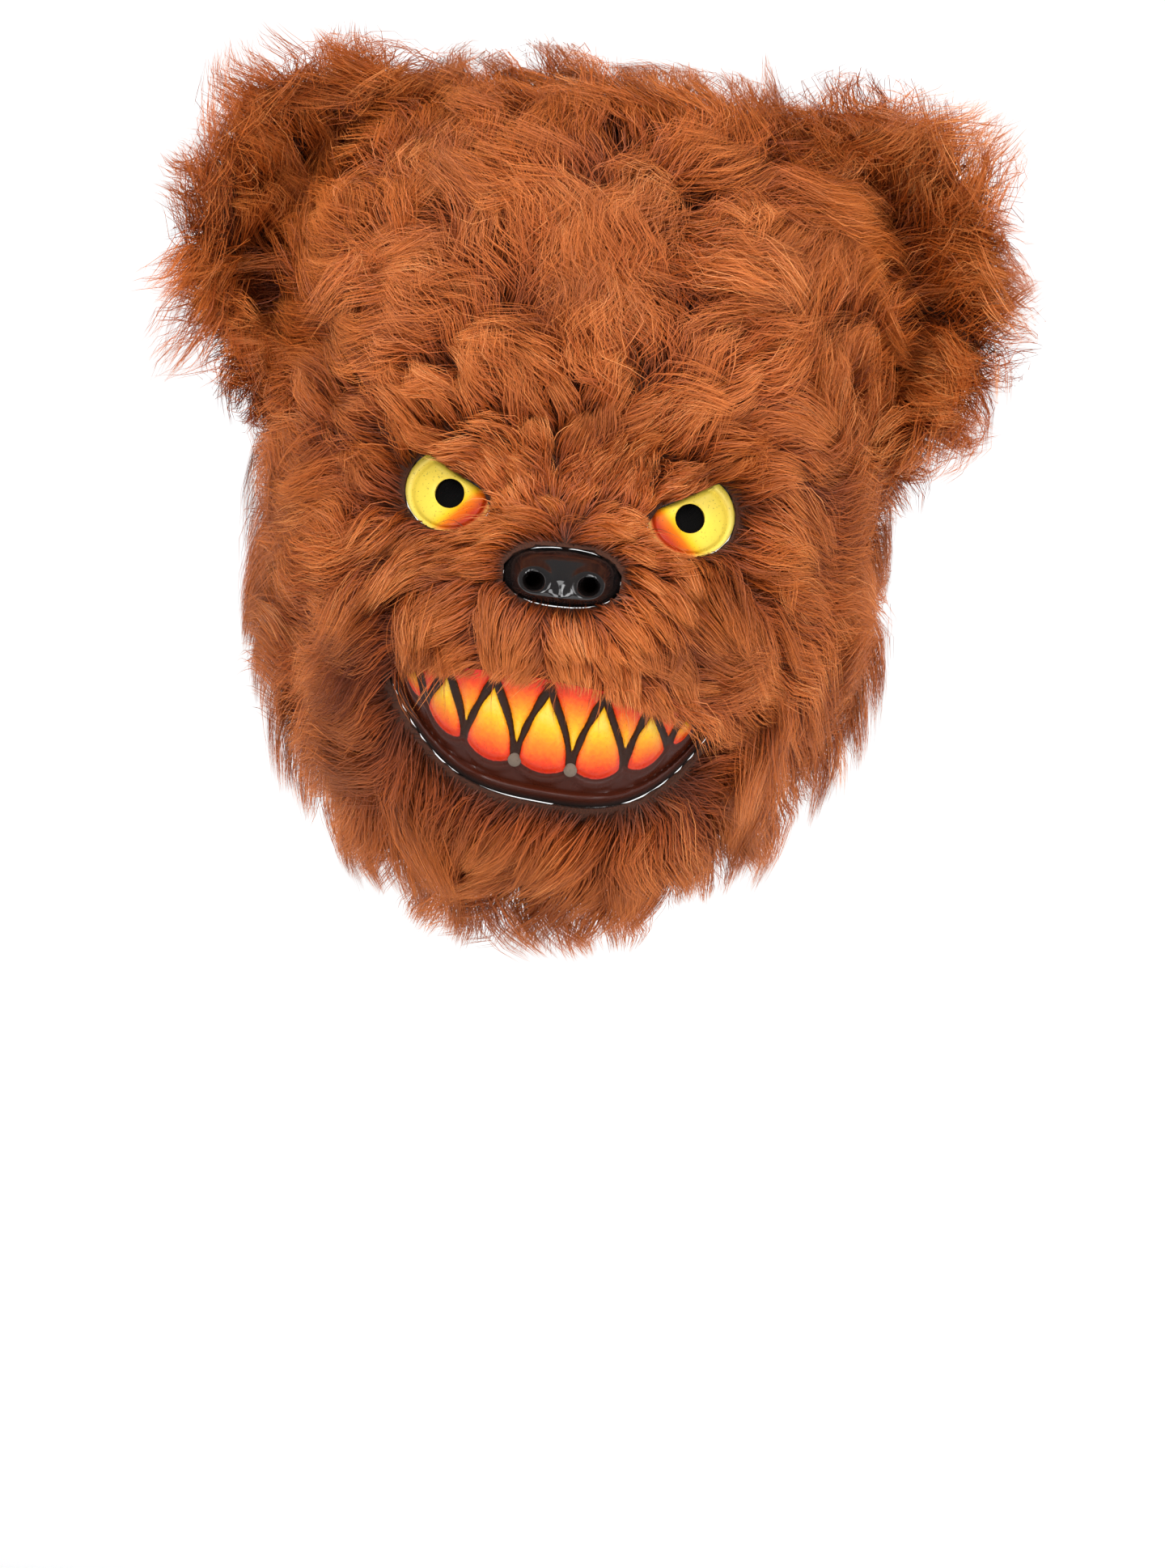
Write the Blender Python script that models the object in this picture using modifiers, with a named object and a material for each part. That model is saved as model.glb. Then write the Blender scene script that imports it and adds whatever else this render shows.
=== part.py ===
# Furry bear face mask: a thin moulded shell with two eyes, a nose and a mouth let into it,
# a fur cover in locks, two cupped fur ears, and an elastic band round the back of the head.
# Metres, +Z up. The face looks along -Y. The origin is the middle of the wearer's head,
# level with the pupils.

from collections import namedtuple
from math import asin, atan2, cos, exp, floor, hypot, pi, radians, sin, sqrt, tan

import bmesh
import bpy
from mathutils import Vector

MM = 0.001

# Clearances
GAP = 0.3 * MM
LAYER_GAP = 0.4 * MM  # between the shell and what lies on it
FUR_GAP = 0.9 * MM  # between a moulding and the fur cut round it
EAR_GAP = 0.7 * MM  # between the ears and the fur that they sit on
RIVET_PLAY = 0.5 * MM

# Shell, outside
HALF_WIDTH = 88 * MM
FRONT_DEPTH = 103 * MM
CROWN_HEIGHT = 122 * MM
JAW_DEPTH = 128 * MM
SHELL_WALL = 1.5 * MM
PLAN_BOXINESS = 2.5  # 2 is an ellipse, more is squarer
CROWN_BOXINESS = 3.4
JAW_BOXINESS = 2.1
SIDE_ANGLE = radians(83)  # edge of the mask, from straight ahead
CROWN_ANGLE = radians(80)
JAW_ANGLE = radians(60)

# Eyes
PUPIL_SPACING = 74.6 * MM
PUPIL_WIDTH = 9.2 * MM
EYE_WIDTH = 27.8 * MM
EYE_HEIGHT = 26 * MM
EYE_RISE = 1.0 * MM  # middle of the eye above the pupil
EYE_BULGE = 3.2 * MM
EYE_EDGE = 0.8 * MM  # how proud of the shell the eye's edge stands
EYE_WALL = 1.5 * MM
GROOVE_DEPTH = 0.7 * MM
BROW_SLOPE = radians(29.6)
BROW_DROP = 6.6 * MM  # brow edge above the pupil, square to the slope
SCREEN_WALL = 0.5 * MM
SCREEN_MARGIN = 2 * MM

# Nose
NOSE_LEVEL = -22.6 * MM
NOSE_WIDTH = 36 * MM
NOSE_HEIGHT = 18 * MM
NOSE_BOXINESS = 2.4  # 2 is an ellipse, more is boxier
NOSE_BULGE = 12 * MM
NOSE_WALL = 3 * MM
NOSTRIL_SPACING = 17 * MM
NOSTRIL_DROP = 2.2 * MM
NOSTRIL_WIDTH = 10 * MM
NOSTRIL_DEPTH = 4.5 * MM
NOSTRIL_HOLE = 3.6 * MM

# Mouth
MOUTH_WIDTH = 100 * MM
MOUTH_TOP = -54.5 * MM
MOUTH_TOP_SAG = 3.5 * MM
MOUTH_SLANT = 0.08  # fall of the whole mouth towards +X, for each length across
MOUTH_EDGE = 0.8 * MM
MOUTH_WALL = 1.5 * MM
LIP_BOTTOM = -91.5 * MM
LIP_RISE = 30 * MM
LIP_WIDTH = 5 * MM
LIP_BULGE = 5 * MM
GUM_BULGE = 2.4 * MM
GUM_HEIGHT = 8 * MM  # lip's edge to the teeth
TOOTH_PITCH = 17.4 * MM  # along the mouth's bend
TOOTH_TIP = -56.5 * MM
TOOTH_RISE = 2.4 * MM
TOOTH_ROUND = 3 * MM
SEAM_WIDTH = 2.6 * MM  # dark groove between teeth
MOUTH_BEND = 48 * MM
VENT_WIDTH = 4.2 * MM

# Fur
FUR_BACKING = 2.5 * MM
PILE = 22 * MM  # length of a lock on the forehead
LOCK_LIFT = radians(48)  # of a lock's root off the backing
LOCK_DROOP = radians(18)  # of its tip
LOCK_RUFFLE = 0.15  # how much longer or shorter than its neighbours a lock may be
LOCK_BEAT = 4 * MM
LOCK_WAIST = 0.72  # width half way along, as a share of the root's
FLOW_LEVEL = -12 * MM  # the fur runs away from this point over the nose
FLOW_BACK_LEVEL = 73 * MM  # above it the fur lies back over the crown
FLOW_BACK = 2  # how fast it turns back, for each length above that level
FLOW_DOWN = 0.6  # how fast it turns down, for each length below the eyes
FUR_CLEAR = 2 * MM  # between locks and what they would hide

# Ears, without their fur
EAR_MIDDLE = 78 * MM
EAR_LEVEL = 77 * MM
EAR_HALF_WIDTH = 43 * MM
EAR_HALF_HEIGHT = 50 * MM
EAR_FORWARD = 40 * MM
EAR_CUP = 18 * MM
EAR_WALL = 5 * MM
EAR_TURN = radians(20)
EAR_SWEEP = radians(95)
EAR_FOOT_SIDES = (radians(71), radians(62))  # low end and high end, from straight ahead
EAR_FOOT_RISES = (radians(27), radians(70))
EAR_FOOT_SINK = 3 * MM
EAR_PILE = 18 * MM
EAR_CLEAR = 11 * MM
EAR_FLOW_MIDDLE = 62 * MM  # the ear's fur runs away from this far across
EAR_SEAT_CUT = 12 * MM  # depth of the head's form that is cut from the ears
LOCK_CLEAR = 12 * MM  # between the head's form and the ear's locks

# Band and rivets
BAND_WIDTH = 22 * MM
BAND_WALL = 1.2 * MM
BAND_LEVEL = 12 * MM
BAND_BACK = 100 * MM
BAND_END_ANGLE = radians(22)
RIVET_ANGLE = radians(15)
RIVET_SHANK = 2.8 * MM
RIVET_HEAD = 7 * MM
RIVET_HEAD_WALL = 1 * MM
RIVET_REACH = 9 * MM  # of the drills each way from the shell's outside

# Swellings of the shell. Places and radii are shares of HALF_WIDTH across and CROWN_HEIGHT
# up and down, and the push forward is a share of FRONT_DEPTH.
Swell = namedtuple("Swell", "name across level radius_across radius_up radius_down push")
SWELLS = (
    Swell("muzzle", 0.00, -0.37, 0.62, 0.30, 0.50, 0.36),
    Swell("chin", 0.00, -0.95, 0.50, 0.27, 0.30, 0.20),
    Swell("brow", 0.42, 0.22, 0.36, 0.16, 0.14, 0.06),
    Swell("cheek", 0.60, -0.32, 0.26, 0.24, 0.27, 0.05),
)

# Length of the locks as a share of PILE. Places and radii are shares as above.
Pile = namedtuple("Pile", "name level radius_across radius_up share")
PILES = (
    Pile("muzzle", -0.25, 0.62, 0.26, 0.50),
    Pile("beard", -1.00, 0.60, 0.25, 1.25),
)

MOST_WARP = 0.8 * MM
SHORTEST_SPLIT = 1 * MM  # a cell's diagonal shorter than this stays unsplit
SKIN_ACROSS, SKIN_UP = 18, 18  # shell and fur share one net, so their layers stay parallel
EYE_SPOKES, EYE_RINGS = 16, 4
NOSE_SPOKES, NOSE_RINGS = 16, 4
MOUTH_ACROSS, MOUTH_UP = 27, 7
EAR_ACROSS, EAR_RINGS = 10, 3
BAND_STEPS = 22
ROUND_SIDES = 10

LOOKS = {  # colour, roughness, metallic
    "shell": ((0.03, 0.02, 0.015), 0.45, 0.0),
    "fur": ((0.42, 0.14, 0.04), 0.9, 0.0),
    "eye": ((0.90, 0.70, 0.10), 0.3, 0.0),
    "screen": ((0.01, 0.01, 0.01), 0.9, 0.0),
    "nose": ((0.01, 0.01, 0.012), 0.1, 0.0),
    "mouth": ((0.09, 0.03, 0.02), 0.3, 0.0),
    "vent": ((0.20, 0.17, 0.12), 0.8, 0.0),
    "band": ((0.02, 0.02, 0.02), 0.8, 0.0),
    "rivet": ((0.6, 0.6, 0.6), 0.3, 1.0),
}


# Form of the face

def smooth(value):
    value = min(max(value, 0), 1)
    return value * value * (3 - 2 * value)


def swollen(x, z):
    push = 0
    for swell in SWELLS:
        radius_up = swell.radius_up if z > swell.level * CROWN_HEIGHT else swell.radius_down
        up = abs(z - swell.level * CROWN_HEIGHT) / (radius_up * CROWN_HEIGHT)
        for side in (1, -1) if swell.across else (1,):
            away = abs(x - side * swell.across * HALF_WIDTH)
            across = away / (swell.radius_across * HALF_WIDTH)
            push += swell.push * FRONT_DEPTH * exp(-(across**3) - up**3)
    return push


def form_height(z):
    return CROWN_HEIGHT if z > 0 else JAW_DEPTH


def from_middle(across, up):
    # 1 on the outline of the front view, whose half width and height are 1
    boxiness = CROWN_BOXINESS if up > 0 else JAW_BOXINESS
    return (abs(across) ** boxiness + abs(up) ** boxiness) ** (1 / boxiness)


def face_depth(x, z):
    # y of the shell's outside at the point (x, z) of the front view
    room = 1 - from_middle(x / HALF_WIDTH, z / form_height(z)) ** PLAN_BOXINESS
    return -FRONT_DEPTH * max(room, 0) ** (1 / PLAN_BOXINESS) - swollen(x, z)


def on_form(side, rise):
    # The same surface by two angles from straight ahead
    across, up = tan(side), tan(rise)
    size = (from_middle(across, up) ** PLAN_BOXINESS + 1) ** (1 / PLAN_BOXINESS)
    x = HALF_WIDTH * across / size
    z = form_height(up) * up / size
    return Vector((x, -FRONT_DEPTH / size - swollen(x, z), z))


def form_point(side, rise, offset):
    step = radians(0.4)
    along = on_form(side + step, rise) - on_form(side - step, rise)
    up = on_form(side, rise + step) - on_form(side, rise - step)
    return on_form(side, rise) + along.cross(up).normalized() * offset


def net_point(u, v, offset):
    rise = CROWN_ANGLE * (v + 1) / 2 - JAW_ANGLE * (1 - v) / 2
    return form_point(u * SIDE_ANGLE, rise, offset)


# Outlines in the front view

def eye_radius(angle, grow=0):
    # From the pupil to the eye's edge. Angle 0 is away from the nose. The brow cuts the top.
    across, up = cos(angle), sin(angle)
    half_width, half_height = EYE_WIDTH / 2, EYE_HEIGHT / 2
    a = (across / half_width) ** 2 + (up / half_height) ** 2
    b = -up * EYE_RISE / half_height**2
    c = (EYE_RISE / half_height) ** 2 - 1
    oval = (-b + sqrt(b * b - a * c)) / a
    towards_brow = up * cos(BROW_SLOPE) - across * sin(BROW_SLOPE)
    if towards_brow * oval > BROW_DROP:
        return BROW_DROP / towards_brow + grow / towards_brow
    return oval + grow


def eye_place(side, angle, radius):
    return side * (PUPIL_SPACING / 2 + cos(angle) * radius), sin(angle) * radius


def eye_outline(side, grow):
    angles = [2 * pi * number / EYE_SPOKES for number in range(EYE_SPOKES)]
    return [eye_place(side, angle, eye_radius(angle, grow)) for angle in angles]


def nose_radius(angle, grow=0):
    across = abs(cos(angle)) / (NOSE_WIDTH / 2 + grow)
    up = abs(sin(angle)) / (NOSE_HEIGHT / 2 + grow)
    return (across**NOSE_BOXINESS + up**NOSE_BOXINESS) ** (-1 / NOSE_BOXINESS)


def nose_outline(grow):
    points = []
    for number in range(NOSE_SPOKES):
        angle = 2 * pi * number / NOSE_SPOKES
        radius = nose_radius(angle, grow)
        points.append((cos(angle) * radius, NOSE_LEVEL + sin(angle) * radius))
    return points


def lip_line(x):
    return LIP_BOTTOM + LIP_RISE * (2 * abs(x) / MOUTH_WIDTH) ** 3 - MOUTH_SLANT * x


def mouth_top_line(x):
    return MOUTH_TOP - MOUTH_TOP_SAG * (2 * x / MOUTH_WIDTH) ** 2 - MOUTH_SLANT * x


def mouth_outline(grow):
    bottom, top = [], []
    for number in range(MOUTH_ACROSS + 1):
        x = MOUTH_WIDTH * (number / MOUTH_ACROSS - 0.5)
        wide_x = x * (1 + 2 * grow / MOUTH_WIDTH)
        slope = 6 * LIP_RISE / MOUTH_WIDTH * (2 * x / MOUTH_WIDTH) ** 2
        slope = (slope if x > 0 else -slope) - MOUTH_SLANT
        bottom.append((wide_x, lip_line(x) - grow * hypot(1, slope)))
        top.append((wide_x, mouth_top_line(x) + grow))
    return bottom + top[::-1]


# Relief of the mouldings, proud of the shell

def eye_relief(share):
    # share is 0 at the pupil and 1 at the eye's edge
    groove = GROOVE_DEPTH * exp(-(((share - 0.75) / 0.1) ** 2))
    return EYE_BULGE - (EYE_BULGE - EYE_EDGE) * share**3 - groove


def nose_relief(x, z):
    share = hypot(x, z) / nose_radius(atan2(z, x))
    dome = 1 - share**3
    hollow = 0
    for side in (1, -1):
        away = hypot(x - side * NOSTRIL_SPACING / 2, z + NOSTRIL_DROP) / (NOSTRIL_WIDTH / 2)
        hollow += NOSTRIL_DEPTH * smooth(1.3 - away)
    return (NOSE_BULGE - hollow) * dome


def teeth_foot(x):
    return lip_line(x) + GUM_HEIGHT


def seam_share(x):
    # Height of the seam that zigzags between upper and lower teeth: 1 at a tip, 0 at a foot
    turn = asin(min(abs(x) / MOUTH_BEND, 1)) * MOUTH_BEND * 2 / TOOTH_PITCH
    part = turn - floor(turn)
    return part if floor(turn) % 2 else 1 - part


def tooth_share(x, z):
    # 1 on a tooth, 0 in the seams and on the gum
    foot, share = teeth_foot(x), seam_share(x)
    height = TOOTH_TIP - MOUTH_SLANT * x - foot
    seam = foot + height * (1 - asin(1 - share) / (pi / 2))
    steepness = hypot(1, height * 2 / TOOTH_PITCH)
    from_seam = abs(z - seam) / steepness
    above_foot = z - foot - TOOTH_ROUND * (1 - share) ** 2
    return smooth(2 * from_seam / SEAM_WIDTH - 0.5) * smooth(above_foot / TOOTH_ROUND)


def mouth_relief(x, z):
    above = (z - lip_line(x)) / LIP_WIDTH
    lip = (LIP_BULGE - MOUTH_EDGE) * exp(-(((above - 0.55) / 0.36) ** 2))
    gum = (GUM_BULGE - MOUTH_EDGE) * smooth(above)
    return MOUTH_EDGE + max(lip, gum) + TOOTH_RISE * tooth_share(x, z)


# Building blocks

def material_of(kind):
    name = kind + "_finish"
    if name in bpy.data.materials:
        return bpy.data.materials[name]
    colour, roughness, metallic = LOOKS[kind]
    made = bpy.data.materials.new(name)
    made.use_nodes = True
    shader = made.node_tree.nodes["Principled BSDF"]
    shader.inputs["Base Color"].default_value = (*colour, 1)
    shader.inputs["Roughness"].default_value = roughness
    shader.inputs["Metallic"].default_value = metallic
    return made


def collection(name):
    made = bpy.data.collections.new(name)
    bpy.context.scene.collection.children.link(made)
    return made


def add_part(name, mesh, kind):
    made = bpy.data.objects.new(name, mesh)
    mesh.materials.append(material_of(kind))
    mesh.shade_smooth()
    mesh.set_sharp_from_angle(angle=radians(50))
    parts.objects.link(made)
    return made


def add_cutter(name, mesh):
    made = bpy.data.objects.new(name, mesh)
    made.hide_render = True
    made.display_type = "WIRE"
    cutters.objects.link(made)
    return made


def finish_mesh(bm, name):
    bmesh.ops.remove_doubles(bm, verts=bm.verts, dist=0.01 * MM)
    bmesh.ops.recalc_face_normals(bm, faces=bm.faces)
    mesh = bpy.data.meshes.new(name)
    bm.to_mesh(mesh)
    bm.free()
    return mesh


def walled_net(name, across, up, place, ring=False, pole=False):
    # A closed wall. place(u, v, depth) puts each corner, with u and v from -1 to 1 and depth
    # 0 outside, 1 inside. A ring's ends at u = -1 and 1 meet, and a pole is a point at v = -1.
    # Faces whose locks may grow later have material index 1: all but the edge at v = -1.
    # Cells far from flat are split along one diagonal, the same one on every layer.
    bm = bmesh.new()
    bmesh.ops.create_grid(bm, x_segments=across, y_segments=up, size=1)
    drawn = bmesh.ops.extrude_face_region(bm, geom=bm.faces[:])["geom"]
    for corner in drawn:
        if isinstance(corner, bmesh.types.BMVert):
            corner.co.z = 1
    spare = []
    for face in bm.faces:
        at_end = all(abs(corner.co.x) > 0.999 for corner in face.verts)
        at_foot = all(corner.co.y < -0.999 for corner in face.verts)
        face.material_index = 0 if at_end or at_foot else 1
        if ring and at_end or pole and at_foot:
            spare.append(face)
    bmesh.ops.delete(bm, geom=spare, context="FACES")
    diagonals = {}
    for face in bm.faces:
        side = -1 if sum(corner.co.x for corner in face.verts) < -0.001 else 1
        corners = sorted(face.verts, key=lambda corner: side * corner.co.x + corner.co.y)
        if len({corner.co.z for corner in corners}) == 1:
            diagonals[face] = corners[0], corners[3]
    for corner in bm.verts:
        corner.co = place(corner.co.x, corner.co.y, corner.co.z)
    for face, (start, end) in diagonals.items():
        others = [corner for corner in face.verts if corner not in (start, end)]
        warp = (start.co + end.co - others[0].co - others[1].co) / 2
        if warp.length > MOST_WARP and (start.co - end.co).length > SHORTEST_SPLIT:
            bmesh.utils.face_split(face, start, end)
    return finish_mesh(bm, name)


def frozen(obj):
    # Makes the modifiers real
    graph = bpy.context.evaluated_depsgraph_get()
    mesh = bpy.data.meshes.new_from_object(obj.evaluated_get(graph))
    obj.modifiers.clear()
    obj.data = mesh
    return obj


def cut(obj, cutter):
    hole = obj.modifiers.new("cut_" + cutter.name, "BOOLEAN")
    hole.operation = "DIFFERENCE"
    hole.object = cutter
    return obj


def drill(name, width, start, end):
    # Cutter for a round hole from start to end
    line = Vector(end) - Vector(start)
    bm = bmesh.new()
    bmesh.ops.create_cone(
        bm,
        cap_ends=True,
        segments=ROUND_SIDES,
        radius1=width / 2,
        radius2=width / 2,
        depth=line.length,
    )
    made = add_cutter(name, finish_mesh(bm, name))
    made.rotation_mode = "QUATERNION"
    made.rotation_quaternion = line.to_track_quat("Z", "Y")
    made.location = (Vector(start) + Vector(end)) / 2
    return made


def window(name, outline):
    # Cutter from back to front through the shell, with an outline in the front view
    curve = bpy.data.curves.new(name, "CURVE")
    curve.dimensions = "2D"
    curve.fill_mode = "BOTH"
    curve.extrude = FRONT_DEPTH
    line = curve.splines.new("POLY")
    line.points.add(len(outline) - 1)
    for point, (x, z) in zip(line.points, outline):
        point.co = (x, z, 0, 1)
    line.use_cyclic_u = True
    flat = bpy.data.objects.new(name, curve)
    flat.rotation_euler = (pi / 2, 0, 0)
    flat.location = (0, -1.1 * FRONT_DEPTH, 0)
    cutters.objects.link(flat)
    graph = bpy.context.evaluated_depsgraph_get()
    bm = bmesh.new()
    bm.from_mesh(bpy.data.meshes.new_from_object(flat.evaluated_get(graph)))
    made = add_cutter(name + "_window", finish_mesh(bm, name))
    made.matrix_world = flat.matrix_world
    bpy.data.objects.remove(flat)
    return made


def cut_windows(obj, grow):
    # Openings for the eyes, nose and mouth
    cut(obj, window(obj.name + "_eye_right", eye_outline(1, grow)))
    cut(obj, window(obj.name + "_eye_left", eye_outline(-1, grow)))
    cut(obj, window(obj.name + "_nose", nose_outline(grow)))
    cut(obj, window(obj.name + "_mouth", mouth_outline(grow)))
    return obj


def turned(name, kind, profile):
    # A turned piece from (radius, height) points that run down its outer side
    mesh = bpy.data.meshes.new(name)
    edges = [(number, number + 1) for number in range(len(profile) - 1)]
    mesh.from_pydata([(radius, 0, height) for radius, height in profile], edges, [])
    made = add_part(name, mesh, kind)
    screw = made.modifiers.new("turn", "SCREW")
    screw.steps = ROUND_SIDES
    screw.render_steps = ROUND_SIDES
    screw.use_merge_vertices = True
    screw.merge_threshold = 0.01 * MM
    return made


# Fur in locks

def flow_on_face(point):
    # The fur runs away from the nose, back over the crown, and down off the jaw
    away = Vector((point.x, 0, point.z - FLOW_LEVEL))
    away.y = FLOW_BACK * max(point.z - FLOW_BACK_LEVEL, 0)
    away.z += FLOW_DOWN * min(point.z, 0)
    return away


def flow_on_ear(point):
    side = 1 if point.x > 0 else -1
    return point - Vector((side * EAR_FLOW_MIDDLE, point.y, EAR_LEVEL))


def pile_at(point):
    length = PILE
    for area in PILES:
        across = point.x / (area.radius_across * HALF_WIDTH)
        up = (point.z - area.level * CROWN_HEIGHT) / (area.radius_up * CROWN_HEIGHT)
        length += (area.share - 1) * PILE * exp(-(across**2) - up**2)
    return length


def hides_moulding(point):
    x, z = abs(point.x), point.z
    from_pupil = Vector((x - PUPIL_SPACING / 2, z))
    if from_pupil.length < eye_radius(atan2(from_pupil.y, from_pupil.x)) + FUR_CLEAR:
        return True
    if hypot(x, z - NOSE_LEVEL) < nose_radius(atan2(z - NOSE_LEVEL, x)) + FUR_CLEAR:
        return True
    in_width = x < MOUTH_WIDTH / 2 + FUR_CLEAR
    bottom, top = lip_line(point.x), mouth_top_line(point.x)
    return in_width and bottom - FUR_CLEAR < z < top + FUR_CLEAR


def head_share(point):
    # 1 on the form without its swellings, more outside it
    outward = from_middle(point.x / HALF_WIDTH, point.z / form_height(point.z))
    back = abs(point.y) / (FRONT_DEPTH if point.y < 0 else BAND_BACK)
    return (outward**PLAN_BOXINESS + back**PLAN_BOXINESS) ** (1 / PLAN_BOXINESS)


def near_ear(point):
    mirrored = Vector((abs(point.x), point.y, point.z))
    return any((mirrored - place).length < EAR_CLEAR for place in ear_sites)


def lock_shape(face, length, flow):
    # Waist and tip of a lock that leaves the face steeply and lies down along the flow
    middle, normal = face.calc_center_median(), face.normal
    along = flow(middle)
    along = (along - normal * along.dot(normal)).normalized()
    waist = middle + (normal * sin(LOCK_LIFT) + along * cos(LOCK_LIFT)) * length / 2
    tip = waist + (normal * sin(LOCK_DROOP) + along * cos(LOCK_DROOP)) * length / 2
    return waist, tip


def ruffle(point):
    return 1 + LOCK_RUFFLE * sin((abs(point.x) + 2 * point.z) / LOCK_BEAT)


def grow_locks(obj, pile, flow, blocked):
    # Draws each whole face of the fur side out into a tapering lock
    bm = bmesh.new()
    bm.from_mesh(obj.data)
    bm.normal_update()
    sides = [face for face in bm.faces if face.material_index == 1]
    usual_area = sum(face.calc_area() for face in sides) / len(sides)
    locks = []
    for face in sides:
        if len(face.verts) > 4 or face.calc_area() < 0.3 * usual_area:
            continue
        middle = face.calc_center_median()
        length = pile(middle) * ruffle(middle)
        for share in (1, 0.75, 0.5, 0.3):
            waist, tip = lock_shape(face, length * share, flow)
            if not any(blocked(place) for place in (middle, waist, (waist + tip) / 2, tip)):
                locks.append((face, waist, tip))
                break
    for face, waist, tip in locks:
        drawn = bmesh.ops.extrude_discrete_faces(bm, faces=[face])["faces"][0]
        middle = drawn.calc_center_median()
        for corner in drawn.verts:
            corner.co = waist + (corner.co - middle) * LOCK_WAIST
        bmesh.ops.poke(bm, faces=[drawn])["verts"][0].co = tip
    for face in bm.faces:
        face.material_index = 0
    bm.to_mesh(obj.data)
    bm.free()
    return obj


# The pieces

def make_shell():
    def place(u, v, depth):
        return net_point(u, v, -depth * SHELL_WALL)

    shell = add_part("face_shell", walled_net("face_shell", SKIN_ACROSS, SKIN_UP, place), "shell")
    cut_windows(shell, GAP)
    for side in (1, -1):
        foot, normal = rivet_seat(side)
        reach = normal * RIVET_REACH
        cut(shell, drill(f"shell_rivet_{side}", RIVET_SHANK + 2 * GAP, foot - reach, foot + reach))
    return shell


def make_fur_cover():
    def place(u, v, depth):
        return net_point(u, v, LAYER_GAP + (1 - depth) * FUR_BACKING)

    mesh = walled_net("fur_cover", SKIN_ACROSS, SKIN_UP, place)
    for face in mesh.polygons:
        if face.normal.dot(face.center) < 0:
            face.material_index = 0
    fur = add_part("fur_cover", mesh, "fur")
    fur.data.materials.append(material_of("fur"))
    cut_windows(fur, FUR_GAP)
    for side in (1, -1):
        foot, normal = rivet_seat(side)
        room = RIVET_HEAD + 2 * RIVET_PLAY
        reach = normal * RIVET_REACH
        cut(fur, drill(f"fur_rivet_{side}", room, foot - reach, foot + reach))
    frozen(fur)

    def blocked(point):
        return hides_moulding(point) or near_ear(point)

    return grow_locks(fur, pile_at, flow_on_face, blocked)


def make_eye(side, where):
    def front(angle, radius):
        share = (radius - PUPIL_WIDTH / 2) / (eye_radius(angle) - PUPIL_WIDTH / 2)
        x, z = eye_place(side, angle, radius)
        return Vector((x, face_depth(x, z) - eye_relief(max(share, 0)), z))

    def place(u, v, depth):
        angle, share = pi * (u + 1), (v + 1) / 2
        radius = PUPIL_WIDTH / 2 + (eye_radius(angle) - PUPIL_WIDTH / 2) * share
        return front(angle, radius) + Vector((0, depth * EYE_WALL, 0))

    def place_screen(u, v, depth):
        radius = (PUPIL_WIDTH / 2 + SCREEN_MARGIN) * (v + 1) / 2
        back = EYE_WALL + GAP + depth * SCREEN_WALL
        return front(pi * (u + 1), radius) + Vector((0, back, 0))

    eye = walled_net("eye_" + where, EYE_SPOKES, EYE_RINGS, place, ring=True)
    add_part("eye_" + where, eye, "eye")
    screen = walled_net("eye_screen_" + where, EYE_SPOKES, 1, place_screen, ring=True, pole=True)
    add_part("eye_screen_" + where, screen, "screen")


def make_nose():
    def place(u, v, depth):
        angle, share = pi * (u + 1), (v + 1) / 2
        radius = nose_radius(angle) * share
        x, z = cos(angle) * radius, sin(angle) * radius
        y = face_depth(x, NOSE_LEVEL + z) - nose_relief(x, z) + depth * NOSE_WALL
        return Vector((x, y, NOSE_LEVEL + z))

    mesh = walled_net("nose", NOSE_SPOKES, NOSE_RINGS, place, ring=True, pole=True)
    nose = add_part("nose", mesh, "nose")
    for side in (1, -1):
        x, z = side * NOSTRIL_SPACING / 2, NOSE_LEVEL - NOSTRIL_DROP
        y = face_depth(x, z)
        reach = 2 * NOSE_BULGE
        cut(nose, drill(f"nostril_{side}", NOSTRIL_HOLE, (x, y + reach, z), (x, y - reach, z)))
    return nose


def vent_seat(side):
    x = side * MOUTH_BEND * sin(TOOTH_PITCH / 2 / MOUTH_BEND)
    z = teeth_foot(x) + TOOTH_ROUND
    return Vector((x, face_depth(x, z) - mouth_relief(x, z), z))


def make_mouth():
    def place(u, v, depth):
        x, share = u * MOUTH_WIDTH / 2, (v + 1) / 2
        z = lip_line(x) + (mouth_top_line(x) - lip_line(x)) * share
        return Vector((x, face_depth(x, z) - mouth_relief(x, z) + depth * MOUTH_WALL, z))

    mouth = add_part("mouth", walled_net("mouth", MOUTH_ACROSS, MOUTH_UP, place), "mouth")
    for side, where in ((1, "right"), (-1, "left")):
        seat = vent_seat(side)
        reach = Vector((0, 4 * LIP_BULGE, 0))
        cut(mouth, drill("vent_hole_" + where, VENT_WIDTH + 2 * GAP, seat + reach, seat - reach))
        radius, half_wall = VENT_WIDTH / 2, MOUTH_WALL / 2
        profile = ((0, half_wall), (radius, half_wall), (radius, -half_wall), (0, -half_wall))
        vent = turned("vent_" + where, "vent", profile)
        vent.rotation_euler = (pi / 2, 0, 0)
        vent.location = seat + Vector((0, half_wall, 0))
    return mouth


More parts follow.
